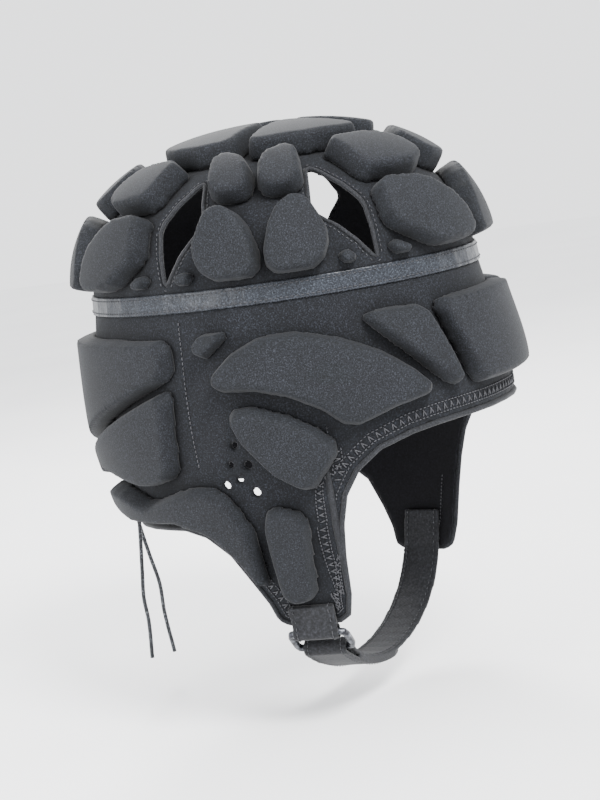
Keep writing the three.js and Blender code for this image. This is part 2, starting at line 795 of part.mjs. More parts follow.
// Ring on the wearer's right flap: the line through its bars slopes inwards
// from the flap, and the tab's two legs meet its upper bar.
const legSpacing = tabThickness + layGap;
const ringPitch = ringLength - ringBar;
function ringFrame() {
  const flap = flapFrame(-1);
  const inward = flap.outward.clone().negate();
  const reach = turnIn(flap.down, inward, ringTilt);
  const face = turnIn(inward, flap.down, -ringTilt);
  const middle = layGap + tabThickness / 2 + legSpacing / 2;
  const upper = flap.point.clone().addScaledVector(flap.outward, middle)
    .addScaledVector(flap.down, ringBar + tabThickness + barGap);
  const lower = upper.clone().addScaledVector(reach, ringPitch);
  return { flap, reach, face, upper, lower, middle };
}

// Band of webbing along a list of stations, each with its place, its
// direction across and its width.
function ribbon(stations, thickness) {
  const offsets = (height) => [-0.5, 0.5].map((side) => stations.map((station, index) => {
    const before = stations[Math.max(index - 1, 0)].place;
    const after = stations[Math.min(index + 1, stations.length - 1)].place;
    const forward = after.clone().sub(before).normalize();
    const normal = new THREE.Vector3().crossVectors(forward, station.across).normalize();
    return station.place.clone().addScaledVector(station.across, side * station.width)
      .addScaledVector(normal, height);
  }));
  return gridSolid(offsets(thickness / 2), offsets(-thickness / 2));
}

function arcAround(centre, radius, first, second, start, end, steps) {
  return Array.from({ length: steps + 1 }, (_, step) => (
    centre.clone().addScaledVector(turnIn(first, second, start + (end - start) * step / steps), radius)
  ));
}

function webbingTab() {
  const { flap, upper, middle } = ringFrame();
  const radius = ringBar * 0.6 + barGap + tabThickness / 2;
  const leg = (offset) => [1, 0.5, 0].map((share) => {
    const below = flapDrop - share * tabSewn;
    return onShell(-flapTurn, below, middle + offset);
  });
  const outerLeg = leg(legSpacing / 2);
  const innerLeg = leg(-legSpacing / 2).reverse();
  const places = [...outerLeg, ...arcAround(upper, radius, flap.outward, flap.down, -38, 218, 8), ...innerLeg];
  const stations = places.map((place) => ({ place, across: flap.along, width: tabWidth }));
  add('webbing_tab', ribbon(stations, tabThickness), 'webbing');
}

const ringEdge = 0.7;
const ringCorner = 2.2;
function buckleRing() {
  const { reach, face, upper } = ringFrame();
  const frameShape = (width, length, radius) => roundedOutline([
    new THREE.Vector2(-width / 2, -length / 2),
    new THREE.Vector2(width / 2, -length / 2),
    new THREE.Vector2(width / 2, length / 2),
    new THREE.Vector2(-width / 2, length / 2),
  ], { radius, steps: 2, bow: 0.001 });
  const shape = new THREE.Shape(frameShape(ringWidth - 2 * ringEdge, ringLength - 2 * ringEdge, ringCorner + ringBar / 2));
  const insideWidth = ringWidth - 2 * ringBar;
  const insideLength = ringLength - 2 * ringBar;
  shape.holes = [new THREE.Path(frameShape(insideWidth + 2 * ringEdge, insideLength + 2 * ringEdge, ringCorner))];
  const geometry = new THREE.ExtrudeGeometry(shape, {
    depth: ringBar - 2 * ringEdge,
    bevelEnabled: true,
    bevelThickness: ringEdge,
    bevelSize: ringEdge,
    bevelSegments: 1,
    curveSegments: 4,
  });
  geometry.translate(0, 0, ringEdge - ringBar / 2);
  const across = new THREE.Vector3().crossVectors(reach, face).normalize();
  const basis = new THREE.Matrix4().makeBasis(across, reach, face);
  const ring = add('buckle_ring', geometry, 'ring');
  ring.quaternion.setFromRotationMatrix(basis);
  ring.position.copy(upper).addScaledVector(reach, ringPitch / 2);
}

// Chin strap: sewn inside the left flap, hanging under the chin, up through
// the ring, round its lower bar and back as a free tail.
const SAG_STEPS = 18;
const TAIL_STEPS = 12;
const tailTip = 11;
function chinStrap() {
  const left = flapFrame(1);
  const { flap, reach, face, lower } = ringFrame();
  const inset = -(shellWall + strapSeatGap + strapThickness / 2);
  const sewn = [1, 0.6, 0.25, 0].map((share) => onShell(flapTurn, flapDrop - share * strapSewn, inset));
  const start = sewn[sewn.length - 1];
  const radius = ringBar * 0.6 + barGap + strapThickness / 2;
  const end = lower.clone().addScaledVector(face, radius);
  const firstHandle = new THREE.Vector3(start.x * 0.66, start.y, start.z - strapSag * 1.14);
  const secondHandle = end.clone().addScaledVector(reach, strapSag * 1.4);
  const sag = new THREE.CubicBezierCurve3(start, firstHandle, secondHandle, end);
  const hang = sag.getSpacedPoints(SAG_STEPS);
  const turnBack = arcAround(lower, radius, face, reach, 0, -180, 6).slice(1);
  const length = sag.getLength();
  const tail = Array.from({ length: TAIL_STEPS }, (_, step) => {
    const run = strapTail * (step + 1) / TAIL_STEPS;
    const at = 1 - run / length;
    const forward = sag.getTangentAt(at);
    const outer = new THREE.Vector3().crossVectors(flap.along, forward).normalize();
    if (outer.z > 0) outer.negate();
    const settled = Math.min(run / 24, 1);
    const offset = THREE.MathUtils.lerp(2 * radius, strapThickness + layGap * 2, settled ** 0.7);
    return { place: sag.getPointAt(at).addScaledVector(outer, offset), run };
  });
  const stations = [];
  const shared = [...sewn, ...hang.slice(1)];
  shared.forEach((place, index) => {
    const across = left.along.clone().lerp(flap.along, index / (shared.length - 1)).normalize();
    stations.push({ place, across, width: strapWidth });
  });
  turnBack.forEach((place) => stations.push({ place, across: flap.along, width: strapWidth }));
  tail.forEach(({ place, run }) => {
    const past = Math.max(run - (strapTail - tailTip), 0) / tailTip;
    const width = strapWidth * Math.max(Math.sqrt(1 - past * past), 0.3);
    stations.push({ place, across: flap.along, width });
  });
  add('chin_strap', ribbon(stations, strapThickness), 'webbing');
}

// Back lace. across is millimetres from the middle of the slit towards the
// wearer's left, row is a share of the flap drop, height is off the shell.
const lacePoint = ({ across, row, height }) => (
  onShell(180 - across / rearDegree, row * flapDrop, height)
);
const laceLie = laceDiameter / 2 + layGap;
const insideRun = -(shellWall + laceDiameter / 2 + 2 * layGap);
const knotCentre = { across: 1.5, row: 0.492, height: 4.2 };
const knotSize = { across: 7, down: 5.4, out: 5 };

const tube = (points, steps) => {
  const curve = new THREE.CatmullRomCurve3(points, false, 'centripetal');
  const section = new THREE.Shape(circleOutline(new THREE.Vector2(), laceDiameter, laceSides));
  return new THREE.ExtrudeGeometry(section, { steps, extrudePath: curve, bevelEnabled: false });
};

// One crossing of the lace: from inside an eyelet through the slit and over
// the other edge to the outside of the next eyelet down.
const CROSSING = [
  { edge: 0.9, part: 0.2, level: 'inside' },
  { edge: 0.28, part: 0.38, level: 'edge' },
  { edge: -0.28, part: 0.5, level: 'lip' },
  { edge: -1.0, part: 0.68, level: 'outside' },
];
function eyeletPoints(side, row) {
  const share = EYELET_ROWS[row];
  const across = side * (slitHalfAt(share) + eyeletSetback);
  return { outside: { across, row: share, height: laceLie }, inside: { across, row: share, height: insideRun } };
}
function crossing(side, row) {
  const levels = { inside: insideRun, edge: -shellWall * 0.75, lip: laceLie * 0.7, outside: laceLie + 0.4 };
  const from = eyeletPoints(side, row);
  const to = eyeletPoints(-side, row + 1);
  const stagger = side * 1.25 / flapDrop;
  const between = CROSSING.map(({ edge, part, level }) => {
    const share = THREE.MathUtils.lerp(EYELET_ROWS[row], EYELET_ROWS[row + 1], part);
    return { across: side * edge * slitHalfAt(share) * 1.15, row: share + stagger, height: levels[level] };
  });
  return [from.outside, from.inside, ...between, to.outside, to.inside];
}

function laceLaced() {
  const strand = (side) => {
    const last = EYELET_ROWS.length - 1;
    const cross = crossing(side, 0).slice(1);
    const second = crossing(-side, 1).slice(2);
    const end = eyeletPoints(-side, last);
    const underneath = {
      across: 0,
      row: (EYELET_ROWS[last - 1] + EYELET_ROWS[last]) / 2,
      height: insideRun - (1 + side) * (laceDiameter + 2 * layGap) / 2,
    };
    const knotSide = {
      across: knotCentre.across - side * (knotSize.across / 2 + layGap),
      row: knotCentre.row - 0.006,
      height: knotCentre.height,
    };
    return [...cross, ...second, underneath, end.inside, end.outside, knotSide];
  };
  const bar = [-1, 1].map((side) => eyeletPoints(side, 0).outside);
  const path = [...strand(-1).reverse(), ...bar, ...strand(1)];
  add('lace_laced', tube(path.map(lacePoint), 48), 'lace');
}

function laceKnot() {
  const geometry = new THREE.SphereGeometry(0.5, 10, 6);
  const knot = add('lace_knot', geometry, 'lace');
  knot.scale.set(knotSize.across, knotSize.out, knotSize.down);
  knot.position.copy(lacePoint(knotCentre));
}

// Free stretches of the lace, by hand: the bow loop lies on the rear pad, the
// two tails hang from the knot.
const onPad = bandPadHeight + laceLie;
const BOW_LOOP = [
  { across: 5.6, row: 0.497, height: 5 },
  { across: 13, row: 0.455, height: onPad },
  { across: 23.4, row: 0.393, height: onPad },
  { across: 36.6, row: 0.353, height: onPad },
  { across: 40.5, row: 0.3, height: onPad },
  { across: 33.5, row: 0.255, height: onPad },
  { across: 23, row: 0.262, height: onPad },
  { across: 14, row: 0.3, height: onPad },
  { across: 7, row: 0.365, height: 7 },
  { across: 4, row: 0.43, height: 5.5 },
  { across: 2.8, row: 0.466, height: 5.2 },
];
const TAILS = {
  lace_tail_left: [
    { across: 2.6, below: 0 },
    { across: -2.6, below: 18 },
    { across: -4.3, below: 34 },
    { across: 0.3, below: 54 },
    { across: 5.2, below: 71 },
    { across: 5.1, below: 86 },
    { across: 8.3, below: 108 },
  ],
  lace_tail_right: [
    { across: 0.2, below: 0 },
    { across: -5.6, below: 17 },
    { across: -9.3, below: 38 },
    { across: -14.2, below: 61 },
    { across: -16.4, below: 72 },
    { across: -15.6, below: 85 },
    { across: -18, below: 103 },
  ],
};
const tailHang = { left: 1.8, right: -1.6 };

function laceFree() {
  add('lace_bow_loop', tube(BOW_LOOP.map(lacePoint), 12), 'lace');
  const centre = lacePoint(knotCentre);
  const start = knotSize.down / 2 + layGap;
  Object.entries(TAILS).forEach(([name, rows]) => {
    const back = name.endsWith('left') ? tailHang.left : tailHang.right;
    const points = rows.map(({ across, below }) => (
      new THREE.Vector3(across, centre.y + back, centre.z - start - below)
    ));
    add(name, tube(points, 10), 'lace');
  });
}

crownShell();
lowerShell();
crownTape();
crownPads();
topPads();
bandPads();
webbingTab();
buckleRing();
chinStrap();
laceLaced();
laceKnot();
laceFree();

export default cap;
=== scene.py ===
"""Studio scene of a rugby scrum cap: moulded foam pads on a knitted shell."""

import logging
import math
from dataclasses import dataclass, field
from enum import Enum

import bmesh
import bpy
import numpy as np
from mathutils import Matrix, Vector
from mathutils.bvhtree import BVHTree

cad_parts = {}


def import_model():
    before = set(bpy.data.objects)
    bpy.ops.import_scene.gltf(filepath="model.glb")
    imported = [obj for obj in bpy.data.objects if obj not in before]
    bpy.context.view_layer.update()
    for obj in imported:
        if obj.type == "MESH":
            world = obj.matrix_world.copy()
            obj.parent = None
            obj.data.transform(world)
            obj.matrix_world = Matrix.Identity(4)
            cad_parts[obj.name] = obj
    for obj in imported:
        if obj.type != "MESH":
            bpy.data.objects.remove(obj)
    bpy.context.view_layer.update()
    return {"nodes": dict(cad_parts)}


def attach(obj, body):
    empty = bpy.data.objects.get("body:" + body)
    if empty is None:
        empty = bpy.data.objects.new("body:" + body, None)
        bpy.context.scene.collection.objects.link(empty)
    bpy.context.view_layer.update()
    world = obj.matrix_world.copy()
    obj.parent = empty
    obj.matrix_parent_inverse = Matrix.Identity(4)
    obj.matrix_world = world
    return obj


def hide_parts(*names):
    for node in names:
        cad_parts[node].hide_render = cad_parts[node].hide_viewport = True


LOG = logging.getLogger("scrum_cap")
MM = 0.001
ROOT = "root"

Span = tuple[Vector, Vector]
Rim = list[tuple[Vector, Vector]]
Station = tuple[Vector, Vector, Vector]


class Slot(str, Enum):
    """Material slots of the record."""

    FABRIC = "fabric"
    FOAM = "foam"
    TAPE = "tape"
    WEBBING = "webbing"
    RING = "ring"
    LACE = "lace"


class Weave(Enum):
    """Direction of a cloth's courses, as the wave texture names it."""

    KNIT = "Z"
    TWILL = "DIAGONAL"


@dataclass(frozen=True)
class Shaping:
    """How a piece is shaped from its CAD solid.

    Attributes:
        voxel: edge of a remesh cell in millimetres.
        rounds: passes of smoothing.
        swell: millimetres that the surface moves out afterwards.
    """

    voxel: float
    rounds: int
    swell: float = 0.0


@dataclass(frozen=True)
class Cloth:
    """Look of a cloth.

    Attributes:
        dark: colour of the shaded yarn, as an sRGB hex string.
        light: colour of the light yarn.
        fleck: colour of the lightest flecks.
        pitch: millimetres from yarn to yarn.
        depth: height of the yarn in the bump, in millimetres.
        roughness: surface roughness.
        sheen: weight of the fuzzy sheen.
        weave: direction of the courses.
        crumple: height of the soft creases in the bump, in millimetres.
    """

    dark: str
    light: str
    fleck: str
    pitch: float
    depth: float
    roughness: float
    sheen: float
    weave: Weave = Weave.KNIT
    crumple: float = 0.0


# The yarns are drawn about as coarse as they need to be to show in the render.
CLOTHS = {
    # Heathered polyester knit moulded over foam: matt, with pale flecks
    "pad knit": Cloth("#050607", "#14161a", "#32353c", 0.45, 0.06, 0.8, 0.04),
    # Plain stretch knit of the shell: darker, with soft creases
    "shell knit": Cloth("#040406", "#101216", "#2f323a", 0.5, 0.06, 0.86, 0.04, crumple=0.2),
    # Brushed lining: nearly black and without gloss
    "lining": Cloth("#040405", "#0a0a0e", "#121217", 0.8, 0.03, 0.95, 0.02),
    # Woven satin tape: the one cloth that shines, and crumples most
    "satin tape": Cloth(
        "#0d0f12", "#23262c", "#4b5159", 0.5, 0.03, 0.3, 0.05, Weave.TWILL, crumple=0.9
    ),
    # Polyester webbing: a coarse ribbed weave
    "webbing": Cloth("#0a0a0c", "#1a1b1e", "#2d2e33", 0.9, 0.12, 0.75, 0.08, Weave.TWILL),
    # Folded edge binding
    "binding": Cloth("#0c0d0f", "#1e1f22", "#35363b", 0.5, 0.05, 0.82, 0.1, Weave.TWILL),
    # Waxed braided lace: pale flecks where the braid turns
    "lace cord": Cloth("#0d0e10", "#26282c", "#8f9298", 0.7, 0.1, 0.4, 0.0, Weave.TWILL),
}


@dataclass(frozen=True)
class Finish:
    """Look of a surface that isn't cloth.

    Attributes:
        stops: positions and colours along its mottling.
        scale: fineness of the mottling, in cells a metre.
        detail: octaves of the mottling.
        roughness: surface roughness.
        rubbed: roughness where the mottling is light, or None for the same.
        depth: height of the grain in the bump, in millimetres.
        strength: strength of the bump.
        metallic: how far it is a metal.
    """

    stops: tuple[tuple[float, str], ...]
    scale: float
    detail: float
    roughness: float
    rubbed: float | None = None
    depth: float = 0.0
    strength: float = 1.0
    metallic: float = 0.0


FINISHES = {
    # Dark plated metal, rubbed brighter in places
    "dark ring": Finish(
        ((0.4, "#222327"), (0.75, "#6d7076")), 420.0, 5.0, 0.18, 0.42, 0.02, 0.25, 0.75
    ),
    # Twisted dark polyester
    "thread": Finish(((0.35, "#0c0c0f"), (0.7, "#3b3c41")), 2200.0, 3.0, 0.6, depth=0.04),
    # Pale matt paper
    "studio floor": Finish(((0.0, "#f1f1f2"), (1.0, "#fbfbfb")), 6.0, 2.0, 0.9),
}

# The girths of the CAD's shell, as shares of half width, front depth and rear
# depth, at shares of the flap drop
GIRTHS = (
    {"drop": 0.0, "side": 0.95, "front": 0.9, "rear": 0.965},
    {"drop": 0.12, "side": 0.972, "front": 0.935, "rear": 0.99},
    {"drop": 0.35, "side": 1.0, "front": 0.995, "rear": 1.0},
    {"drop": 0.6, "side": 0.965, "front": 1.0, "rear": 0.94},
    {"drop": 0.8, "side": 0.895, "front": 0.965, "rear": 0.86},
    {"drop": 1.0, "side": 0.8, "front": 0.91, "rear": 0.77},
    {"drop": 1.1, "side": 0.75, "front": 0.88, "rear": 0.72},
)

LACE_DIAMETER = 2.0
LAY_GAP = 0.35
BAND_PAD_HEIGHT = 8.5
ON_PAD = BAND_PAD_HEIGHT + LACE_DIAMETER / 2 + LAY_GAP

# Route of the bow's loop over the rear: millimetres across from the slit,
# share of the flap drop, and millimetres off the shell
BOW_LOOP = (
    (5.6, 0.497, 5.0),
    (13.0, 0.455, ON_PAD),
    (23.4, 0.393, ON_PAD),
    (36.6, 0.353, ON_PAD),
    (40.5, 0.3, ON_PAD),
    (33.5, 0.255, ON_PAD),
    (23.0, 0.262, ON_PAD),
    (14.0, 0.3, ON_PAD),
    (7.0, 0.365, 7.0),
    (4.0, 0.43, 5.5),
    (2.8, 0.466, 5.2),
)

# Each hanging tail: millimetres behind the knot, then its route as
# millimetres across and millimetres down from the knot
TAILS = {
    "lace_tail_left": (
        1.8,
        ((2.6, 0), (-2.6, 18), (-4.3, 34), (0.3, 54), (5.2, 71), (5.1, 86), (8.3, 108)),
    ),
    "lace_tail_right": (
        -1.6,
        ((0.2, 0), (-5.6, 17), (-9.3, 38), (-14.2, 61), (-16.4, 72), (-15.6, 85), (-18, 103)),
    ),
}


def linear(value: str) -> tuple[float, float, float, float]:
    """Turns an sRGB hex colour into linear RGBA.

    Args:
        value: the colour, such as "#303135".

    Returns:
        The colour's linear red, green and blue, and an alpha of 1.
    """

    def channel(start: int) -> float:
        """Returns one linear channel."""
        share = int(value[start : start + 2], 16) / 255
        return share / 12.92 if share <= 0.04045 else ((share + 0.055) / 1.055) ** 2.4

    return channel(1), channel(3), channel(5), 1.0


def girth_at(column: str, drop: float) -> float:
    """Reads a girth on a smooth curve that never swings past the table's rows.

    Args:
        column: the column to read.
        drop: the share of the flap drop to read it at.

    Returns:
        The column's value there.
    """
    last = len(GIRTHS) - 1
    slopes = [
        (after[column] - before[column]) / (after["drop"] - before["drop"])
        for before, after in zip(GIRTHS, GIRTHS[1:])
    ]

    def tangent(index: int) -> float:
        """Returns the curve's slope at a row."""
        if index in (0, last):
            return slopes[min(index, last - 1)]
        before, after = slopes[index - 1], slopes[index]
        return 0.0 if before * after <= 0 else 2 * before * after / (before + after)

    row = 0
    while row < last - 1 and drop > GIRTHS[row + 1]["drop"]:
        row += 1
    low, high = GIRTHS[row], GIRTHS[row + 1]
    span = high["drop"] - low["drop"]
    t = min(max((drop - low["drop"]) / span, 0.0), 1.0)
    return (
        (2 * t**3 - 3 * t**2 + 1) * low[column]
        + (t**3 - 2 * t**2 + t) * span * tangent(row)
        + (3 * t**2 - 2 * t**3) * high[column]
        + (t**3 - t**2) * span * tangent(row + 1)
    )


@dataclass
class HeadForm:
    """The smooth surface that the shell and the pads follow, in millimetres.

    Attributes:
        half_width: half the widest girth, side to side.
        depth: its reach to the front and to the rear.
        wall: thickness of the shell.
        crown_rise: height of the crown over the seam.
        fullness: power of the crown's profile; 2 is an ellipse.
        flap_drop: depth of the cheek flaps under the seam.
        seam: level of the seam.
        turned_in: how squarely a face has to look out or in to be settled.
        blend: over how much of that the settling fades in.
    """

    half_width: float = 82.5
    depth: float = 100.0
    wall: float = 2.5
    crown_rise: float = 62.0
    fullness: float = 2.3
    flap_drop: float = 150.0
    seam: float = -59.5
    turned_in: float = 0.62
    blend: float = 0.3

    def __post_init__(self) -> None:
        """Reads the girths once, finely enough to look them up."""
        self._shares = np.linspace(0.0, GIRTHS[-1]["drop"], 221)
        self._girths = {
            column: np.array([girth_at(column, share) for share in self._shares])
            for column in ("side", "front", "rear")
        }

    def _implicit(self, places: np.ndarray) -> np.ndarray:
        """Returns a value that is zero on the form and grows outwards."""
        x, y, z = places.T
        share = np.maximum(self.seam - z, 0.0) / self.flap_drop
        girth = {key: np.interp(share, self._shares, row) for key, row in self._girths.items()}
        depth = np.where(y > 0, girth["rear"], girth["front"]) * self.depth
        plan = np.hypot(x / (girth["side"] * self.half_width), y / depth)
        rise = np.maximum(z - self.seam, 0.0) / self.crown_rise
        return (plan**self.fullness + rise**self.fullness) ** (1 / self.fullness) - 1.0

    def measure(self, places: np.ndarray) -> tuple[np.ndarray, np.ndarray]:
        """Measures points against the form.

        Args:
            places: points in millimetres, one a row.

        Returns:
            The height of each over the form, and the outward direction there.
        """
        step = 0.4
        slopes = [
            (self._implicit(places + shift) - self._implicit(places - shift)) / (2 * step)
            for shift in np.eye(3) * step
        ]
        slope = np.stack(slopes, axis=1)
        steep = np.linalg.norm(slope, axis=1)
        return self._implicit(places) / steep, slope / steep[:, None]

    def settle(self, obj: bpy.types.Object, outer: float, inner: float | None = None) -> None:
        """Moves an object's broad faces to their height over the form.

        Args:
            obj: the dense object.
            outer: height of its outer face in millimetres.
            inner: height of its inner face, or None to leave that as it is.
        """
        mesh = obj.data
        count = len(mesh.vertices)
        flat = np.empty(count * 3)
        mesh.vertices.foreach_get("co", flat)
        places = flat.reshape(count, 3) / MM
        normals = np.array([vertex.normal for vertex in mesh.vertices])
        height, outward = self.measure(places)
        facing = np.einsum("ij,ij->i", normals, outward)
        for target, side in ((outer, 1.0), (inner, -1.0)):
            if target is None:
                continue
            share = np.clip((facing * side - self.turned_in) / self.blend, 0.0, 1.0)
            share = share * share * (3 - 2 * share)
            places = places + outward * ((target - height) * share)[:, None]
        mesh.vertices.foreach_set("co", (places * MM).ravel())
        mesh.update()

    def rear_point(self, across: float, row: float, height: float) -> Vector:
        """Finds a point over the rear of the shell.

        Args:
            across: millimetres from the slit's middle towards the wearer's left.
            row: share of the flap drop below the seam.
            height: millimetres off the shell.

        Returns:
            The point in metres.
        """

        def surface(turn: float, below: float) -> Vector:
            """Returns the shell's point at a turn and a depth below the seam."""
            share = below / self.flap_drop
            side = self.half_width * girth_at("side", share)
            depth = self.depth * girth_at("rear", share)
            angle = math.radians(turn)
            return Vector((side * math.sin(angle), -depth * math.cos(angle), self.seam - below))

        turn = 180 - math.degrees(across / self.half_width)
        below = row * self.flap_drop
        along = surface(turn + 0.5, below) - surface(turn - 0.5, below)
        down = surface(turn, below + 0.5) - surface(turn, below - 0.5)
        return (surface(turn, below) + down.cross(along).normalized() * height) * MM


def resampled(points: list[Vector], count: int) -> list[Vector]:
    """Spaces points evenly along a line.

    Args:
        points: the line's points.
        count: how many points to return.

    Returns:
        The evenly spaced points, ends included.
    """
    reach = [0.0]
    for before, after in zip(points, points[1:]):
        reach.append(reach[-1] + (after - before).length)
    made, index = [], 0
    for step in range(count):
        target = reach[-1] * step / (count - 1)
        while index < len(points) - 2 and reach[index + 1] < target:
            index += 1
        span = max(reach[index + 1] - reach[index], 1e-9)
        made.append(points[index].lerp(points[index + 1], (target - reach[index]) / span))
    return made


def centripetal(points: list[Vector], count: int) -> list[Vector]:
    """Lays evenly spaced points on a smooth curve through the given ones.

    Args:
        points: the points that the curve passes.
        count: how many points to return.

    Returns:
        The points of the curve, ends included.
    """
    fine = 16
    ends = [points[0] * 2 - points[1], *points, points[-1] * 2 - points[-2]]
    dense: list[Vector] = []
    for p0, p1, p2, p3 in zip(ends, ends[1:], ends[2:], ends[3:]):
        t1 = (p1 - p0).length ** 0.5
        t2 = t1 + (p2 - p1).length ** 0.5
        t3 = t2 + (p3 - p2).length ** 0.5
        for step in range(fine):
            t = t1 + (t2 - t1) * step / fine
            a1 = p0.lerp(p1, t / t1)
            a2 = p1.lerp(p2, (t - t1) / (t2 - t1))
            a3 = p2.lerp(p3, (t - t2) / (t3 - t2))
            b1 = a1.lerp(a2, t / t2)
            b2 = a2.lerp(a3, (t - t1) / (t3 - t1))
            dense.append(b1.lerp(b2, (t - t1) / (t2 - t1)))
    dense.append(points[-1].copy())
    return resampled(dense, count)


def set_node(
    tree: bpy.types.NodeTree,
    node: bpy.types.Node,
    settings: dict[str | int, object],
    links: dict[str | int, bpy.types.NodeSocket],
) -> None:
    """Sets a node's properties and inputs, and feeds its inputs.

    Args:
        tree: the node tree.
        node: the node.
        settings: values by the name of a property, or the name or number of an input.
        links: the sockets that feed inputs, by the input's name or number.
    """
    for key, value in settings.items():
        if isinstance(key, int) or key in node.inputs:
            node.inputs[key].default_value = value
        else:
            setattr(node, key, value)
    for key, socket in links.items():
        tree.links.new(socket, node.inputs[key])


def add_node(
    tree: bpy.types.NodeTree,
    kind: str,
    settings: dict[str | int, object] | None = None,
    links: dict[str | int, bpy.types.NodeSocket] | None = None,
    stops: tuple[tuple[float, str], ...] = (),
) -> bpy.types.Node:
    """Adds a node with its settings and links.

    Args:
        tree: the node tree.
        kind: the node's type, without its ShaderNode prefix.
        settings: values by the name of a property, or the name or number of an input.
        links: the sockets that feed inputs, by the input's name or number.
        stops: positions and hex colours along a colour ramp, ends first.

    Returns:
        The node.
    """
    node = tree.nodes.new(f"ShaderNode{kind}")
    set_node(tree, node, settings or {}, links or {})
    for index, (position, colour) in enumerate(stops):
        elements = node.color_ramp.elements
        element = elements[index] if index < 2 else elements.new(position)
        element.position = position
        element.color = linear(colour)
    return node


class Materials:
    """Makes and keeps the procedural materials."""

    def __init__(self) -> None:
        """Starts with no material made."""
        self._made: dict[str, bpy.types.Material] = {}

    def get(self, name: str) -> bpy.types.Material:
        """Returns a material, made at its first use.

        Args:
            name: its key in CLOTHS or FINISHES.

        Returns:
            The material.
        """
        if name not in self._made:
            material = bpy.data.materials.new(name)
            material.use_nodes = True
            tree = material.node_tree
            shader = next(node for node in tree.nodes if node.type == "BSDF_PRINCIPLED")
            if name in CLOTHS:
                self._weave(tree, shader, CLOTHS[name])
            else:
                self._coat(tree, shader, FINISHES[name])
            self._made[name] = material
        return self._made[name]

    def _weave(self, tree: bpy.types.NodeTree, shader: bpy.types.Node, cloth: Cloth) -> None:
        """Fills the tree of a cloth: mottled yarns, courses, and painted shade in grooves and
        creases.

        Args:
            tree: the material's node tree.
            shader: its surface shader.
            cloth: the cloth's look.
        """
        place = {"Vector": add_node(tree, "TexCoord").outputs["Object"]}
        per_metre = 1 / (cloth.pitch * MM)
        heather = add_node(
            tree, "TexNoise", {"Scale": per_metre * 0.75, "Detail": 4.0, "Roughness": 0.62}, place
        )
        cloud = add_node(tree, "TexNoise", {"Scale": 45.0, "Detail": 3.0}, place)
        mottle = add_node(
            tree,
            "Mix",
            {"data_type": "FLOAT", 0: 0.08},
            {2: heather.outputs["Fac"], 3: cloud.outputs["Fac"]},
        )
        yarns = add_node(
            tree,
            "ValToRGB",
            links={"Fac": mottle.outputs[0]},
            stops=((0.34, cloth.dark), (0.74, cloth.fleck), (0.54, cloth.light)),
        )
        # Ambient occlusion darkens the yarn colour: painted shade in the grooves between pads and
        # in creases.
        crease = add_node(tree, "AmbientOcclusion", {"Distance": 7 * MM, "samples": 8})
        shade = add_node(tree, "MapRange", {"To Min": 0.18}, {"Value": crease.outputs["AO"]})
        painted_shade_yarns = add_node(
            tree,
            "Mix",
            {"data_type": "RGBA", "blend_type": "MULTIPLY", 0: 1.0},
            {6: yarns.outputs["Color"], 7: shade.outputs["Result"]},
        )
        course = add_node(
            tree,
            "TexWave",
            {
                "wave_type": "BANDS",
                "bands_direction": cloth.weave.value,
                "Scale": per_metre / 3.2,
                "Distortion": 1.2,
                "Detail": 1.0,
            },
            place,
        )
        rib = add_node(tree, "TexVoronoi", {"Scale": per_metre}, place)
        height = add_node(
            tree,
            "Math",
            {"operation": "MULTIPLY_ADD", 1: 0.6},
            {0: course.outputs["Fac"], 2: rib.outputs["Distance"]},
        )
        feeds = {"Height": height.outputs[0]}
        if cloth.crumple:
            creases = add_node(tree, "TexNoise", {"Scale": 190.0, "Detail": 2.0}, place)
            folds = add_node(
                tree,
                "Bump",
                {"Strength": 0.6, "Distance": cloth.crumple * MM},
                {"Height": creases.outputs["Fac"]},
            )
            feeds["Normal"] = folds.outputs["Normal"]
        bump = add_node(tree, "Bump", {"Strength": 0.7, "Distance": cloth.depth * MM}, feeds)
        set_node(
            tree,
            shader,
            {
                "Roughness": cloth.roughness,
                "Sheen Weight": cloth.sheen,
                "Sheen Roughness": 0.45,
                "Specular IOR Level": 0.2,
            },
            {"Base Color": painted_shade_yarns.outputs[2], "Normal": bump.outputs["Normal"]},
        )

    def _coat(self, tree: bpy.types.NodeTree, shader: bpy.types.Node, finish: Finish) -> None:
        """Fills the tree of a surface that isn't cloth: mottled colour, gloss and grain.

        Args:
            tree: the material's node tree.
            shader: its surface shader.
            finish: the surface's look.
        """
        place = {"Vector": add_node(tree, "TexCoord").outputs["Object"]}
        settings = {"Scale": finish.scale, "Detail": finish.detail}
        mottle = add_node(tree, "TexNoise", settings, place).outputs["Fac"]
        colour = add_node(tree, "ValToRGB", links={"Fac": mottle}, stops=finish.stops)
        feeds = {"Base Color": colour.outputs["Color"]}
        if finish.rubbed is not None:
            gloss = {"To Min": finish.roughness, "To Max": finish.rubbed}
            feeds["Roughness"] = add_node(
                tree, "MapRange", gloss, {"Value": mottle}
            ).outputs["Result"]
        if finish.depth:
            grain = {"Strength": finish.strength, "Distance": finish.depth * MM}
            feeds["Normal"] = add_node(tree, "Bump", grain, {"Height": mottle}).outputs["Normal"]
        settings = {"Roughness": finish.roughness, "Metallic": finish.metallic}
        set_node(tree, shader, settings, feeds)


def activate(obj: bpy.types.Object) -> None:
    """Makes an object the only selected and the active one.

    Args:
        obj: the object.
    """
    bpy.ops.object.select_all(action="DESELECT")
    obj.select_set(True)
    bpy.context.view_layer.objects.active = obj


def linked(name: str, data: bpy.types.ID) -> bpy.types.Object:
    """Puts new data in the scene as the active object.

    Args:
        name: the object's name.
        data: its mesh or curve.

    Returns:
        The object.
    """
    obj = bpy.data.objects.new(name, data)
    bpy.context.scene.collection.objects.link(obj)
    activate(obj)
    return obj


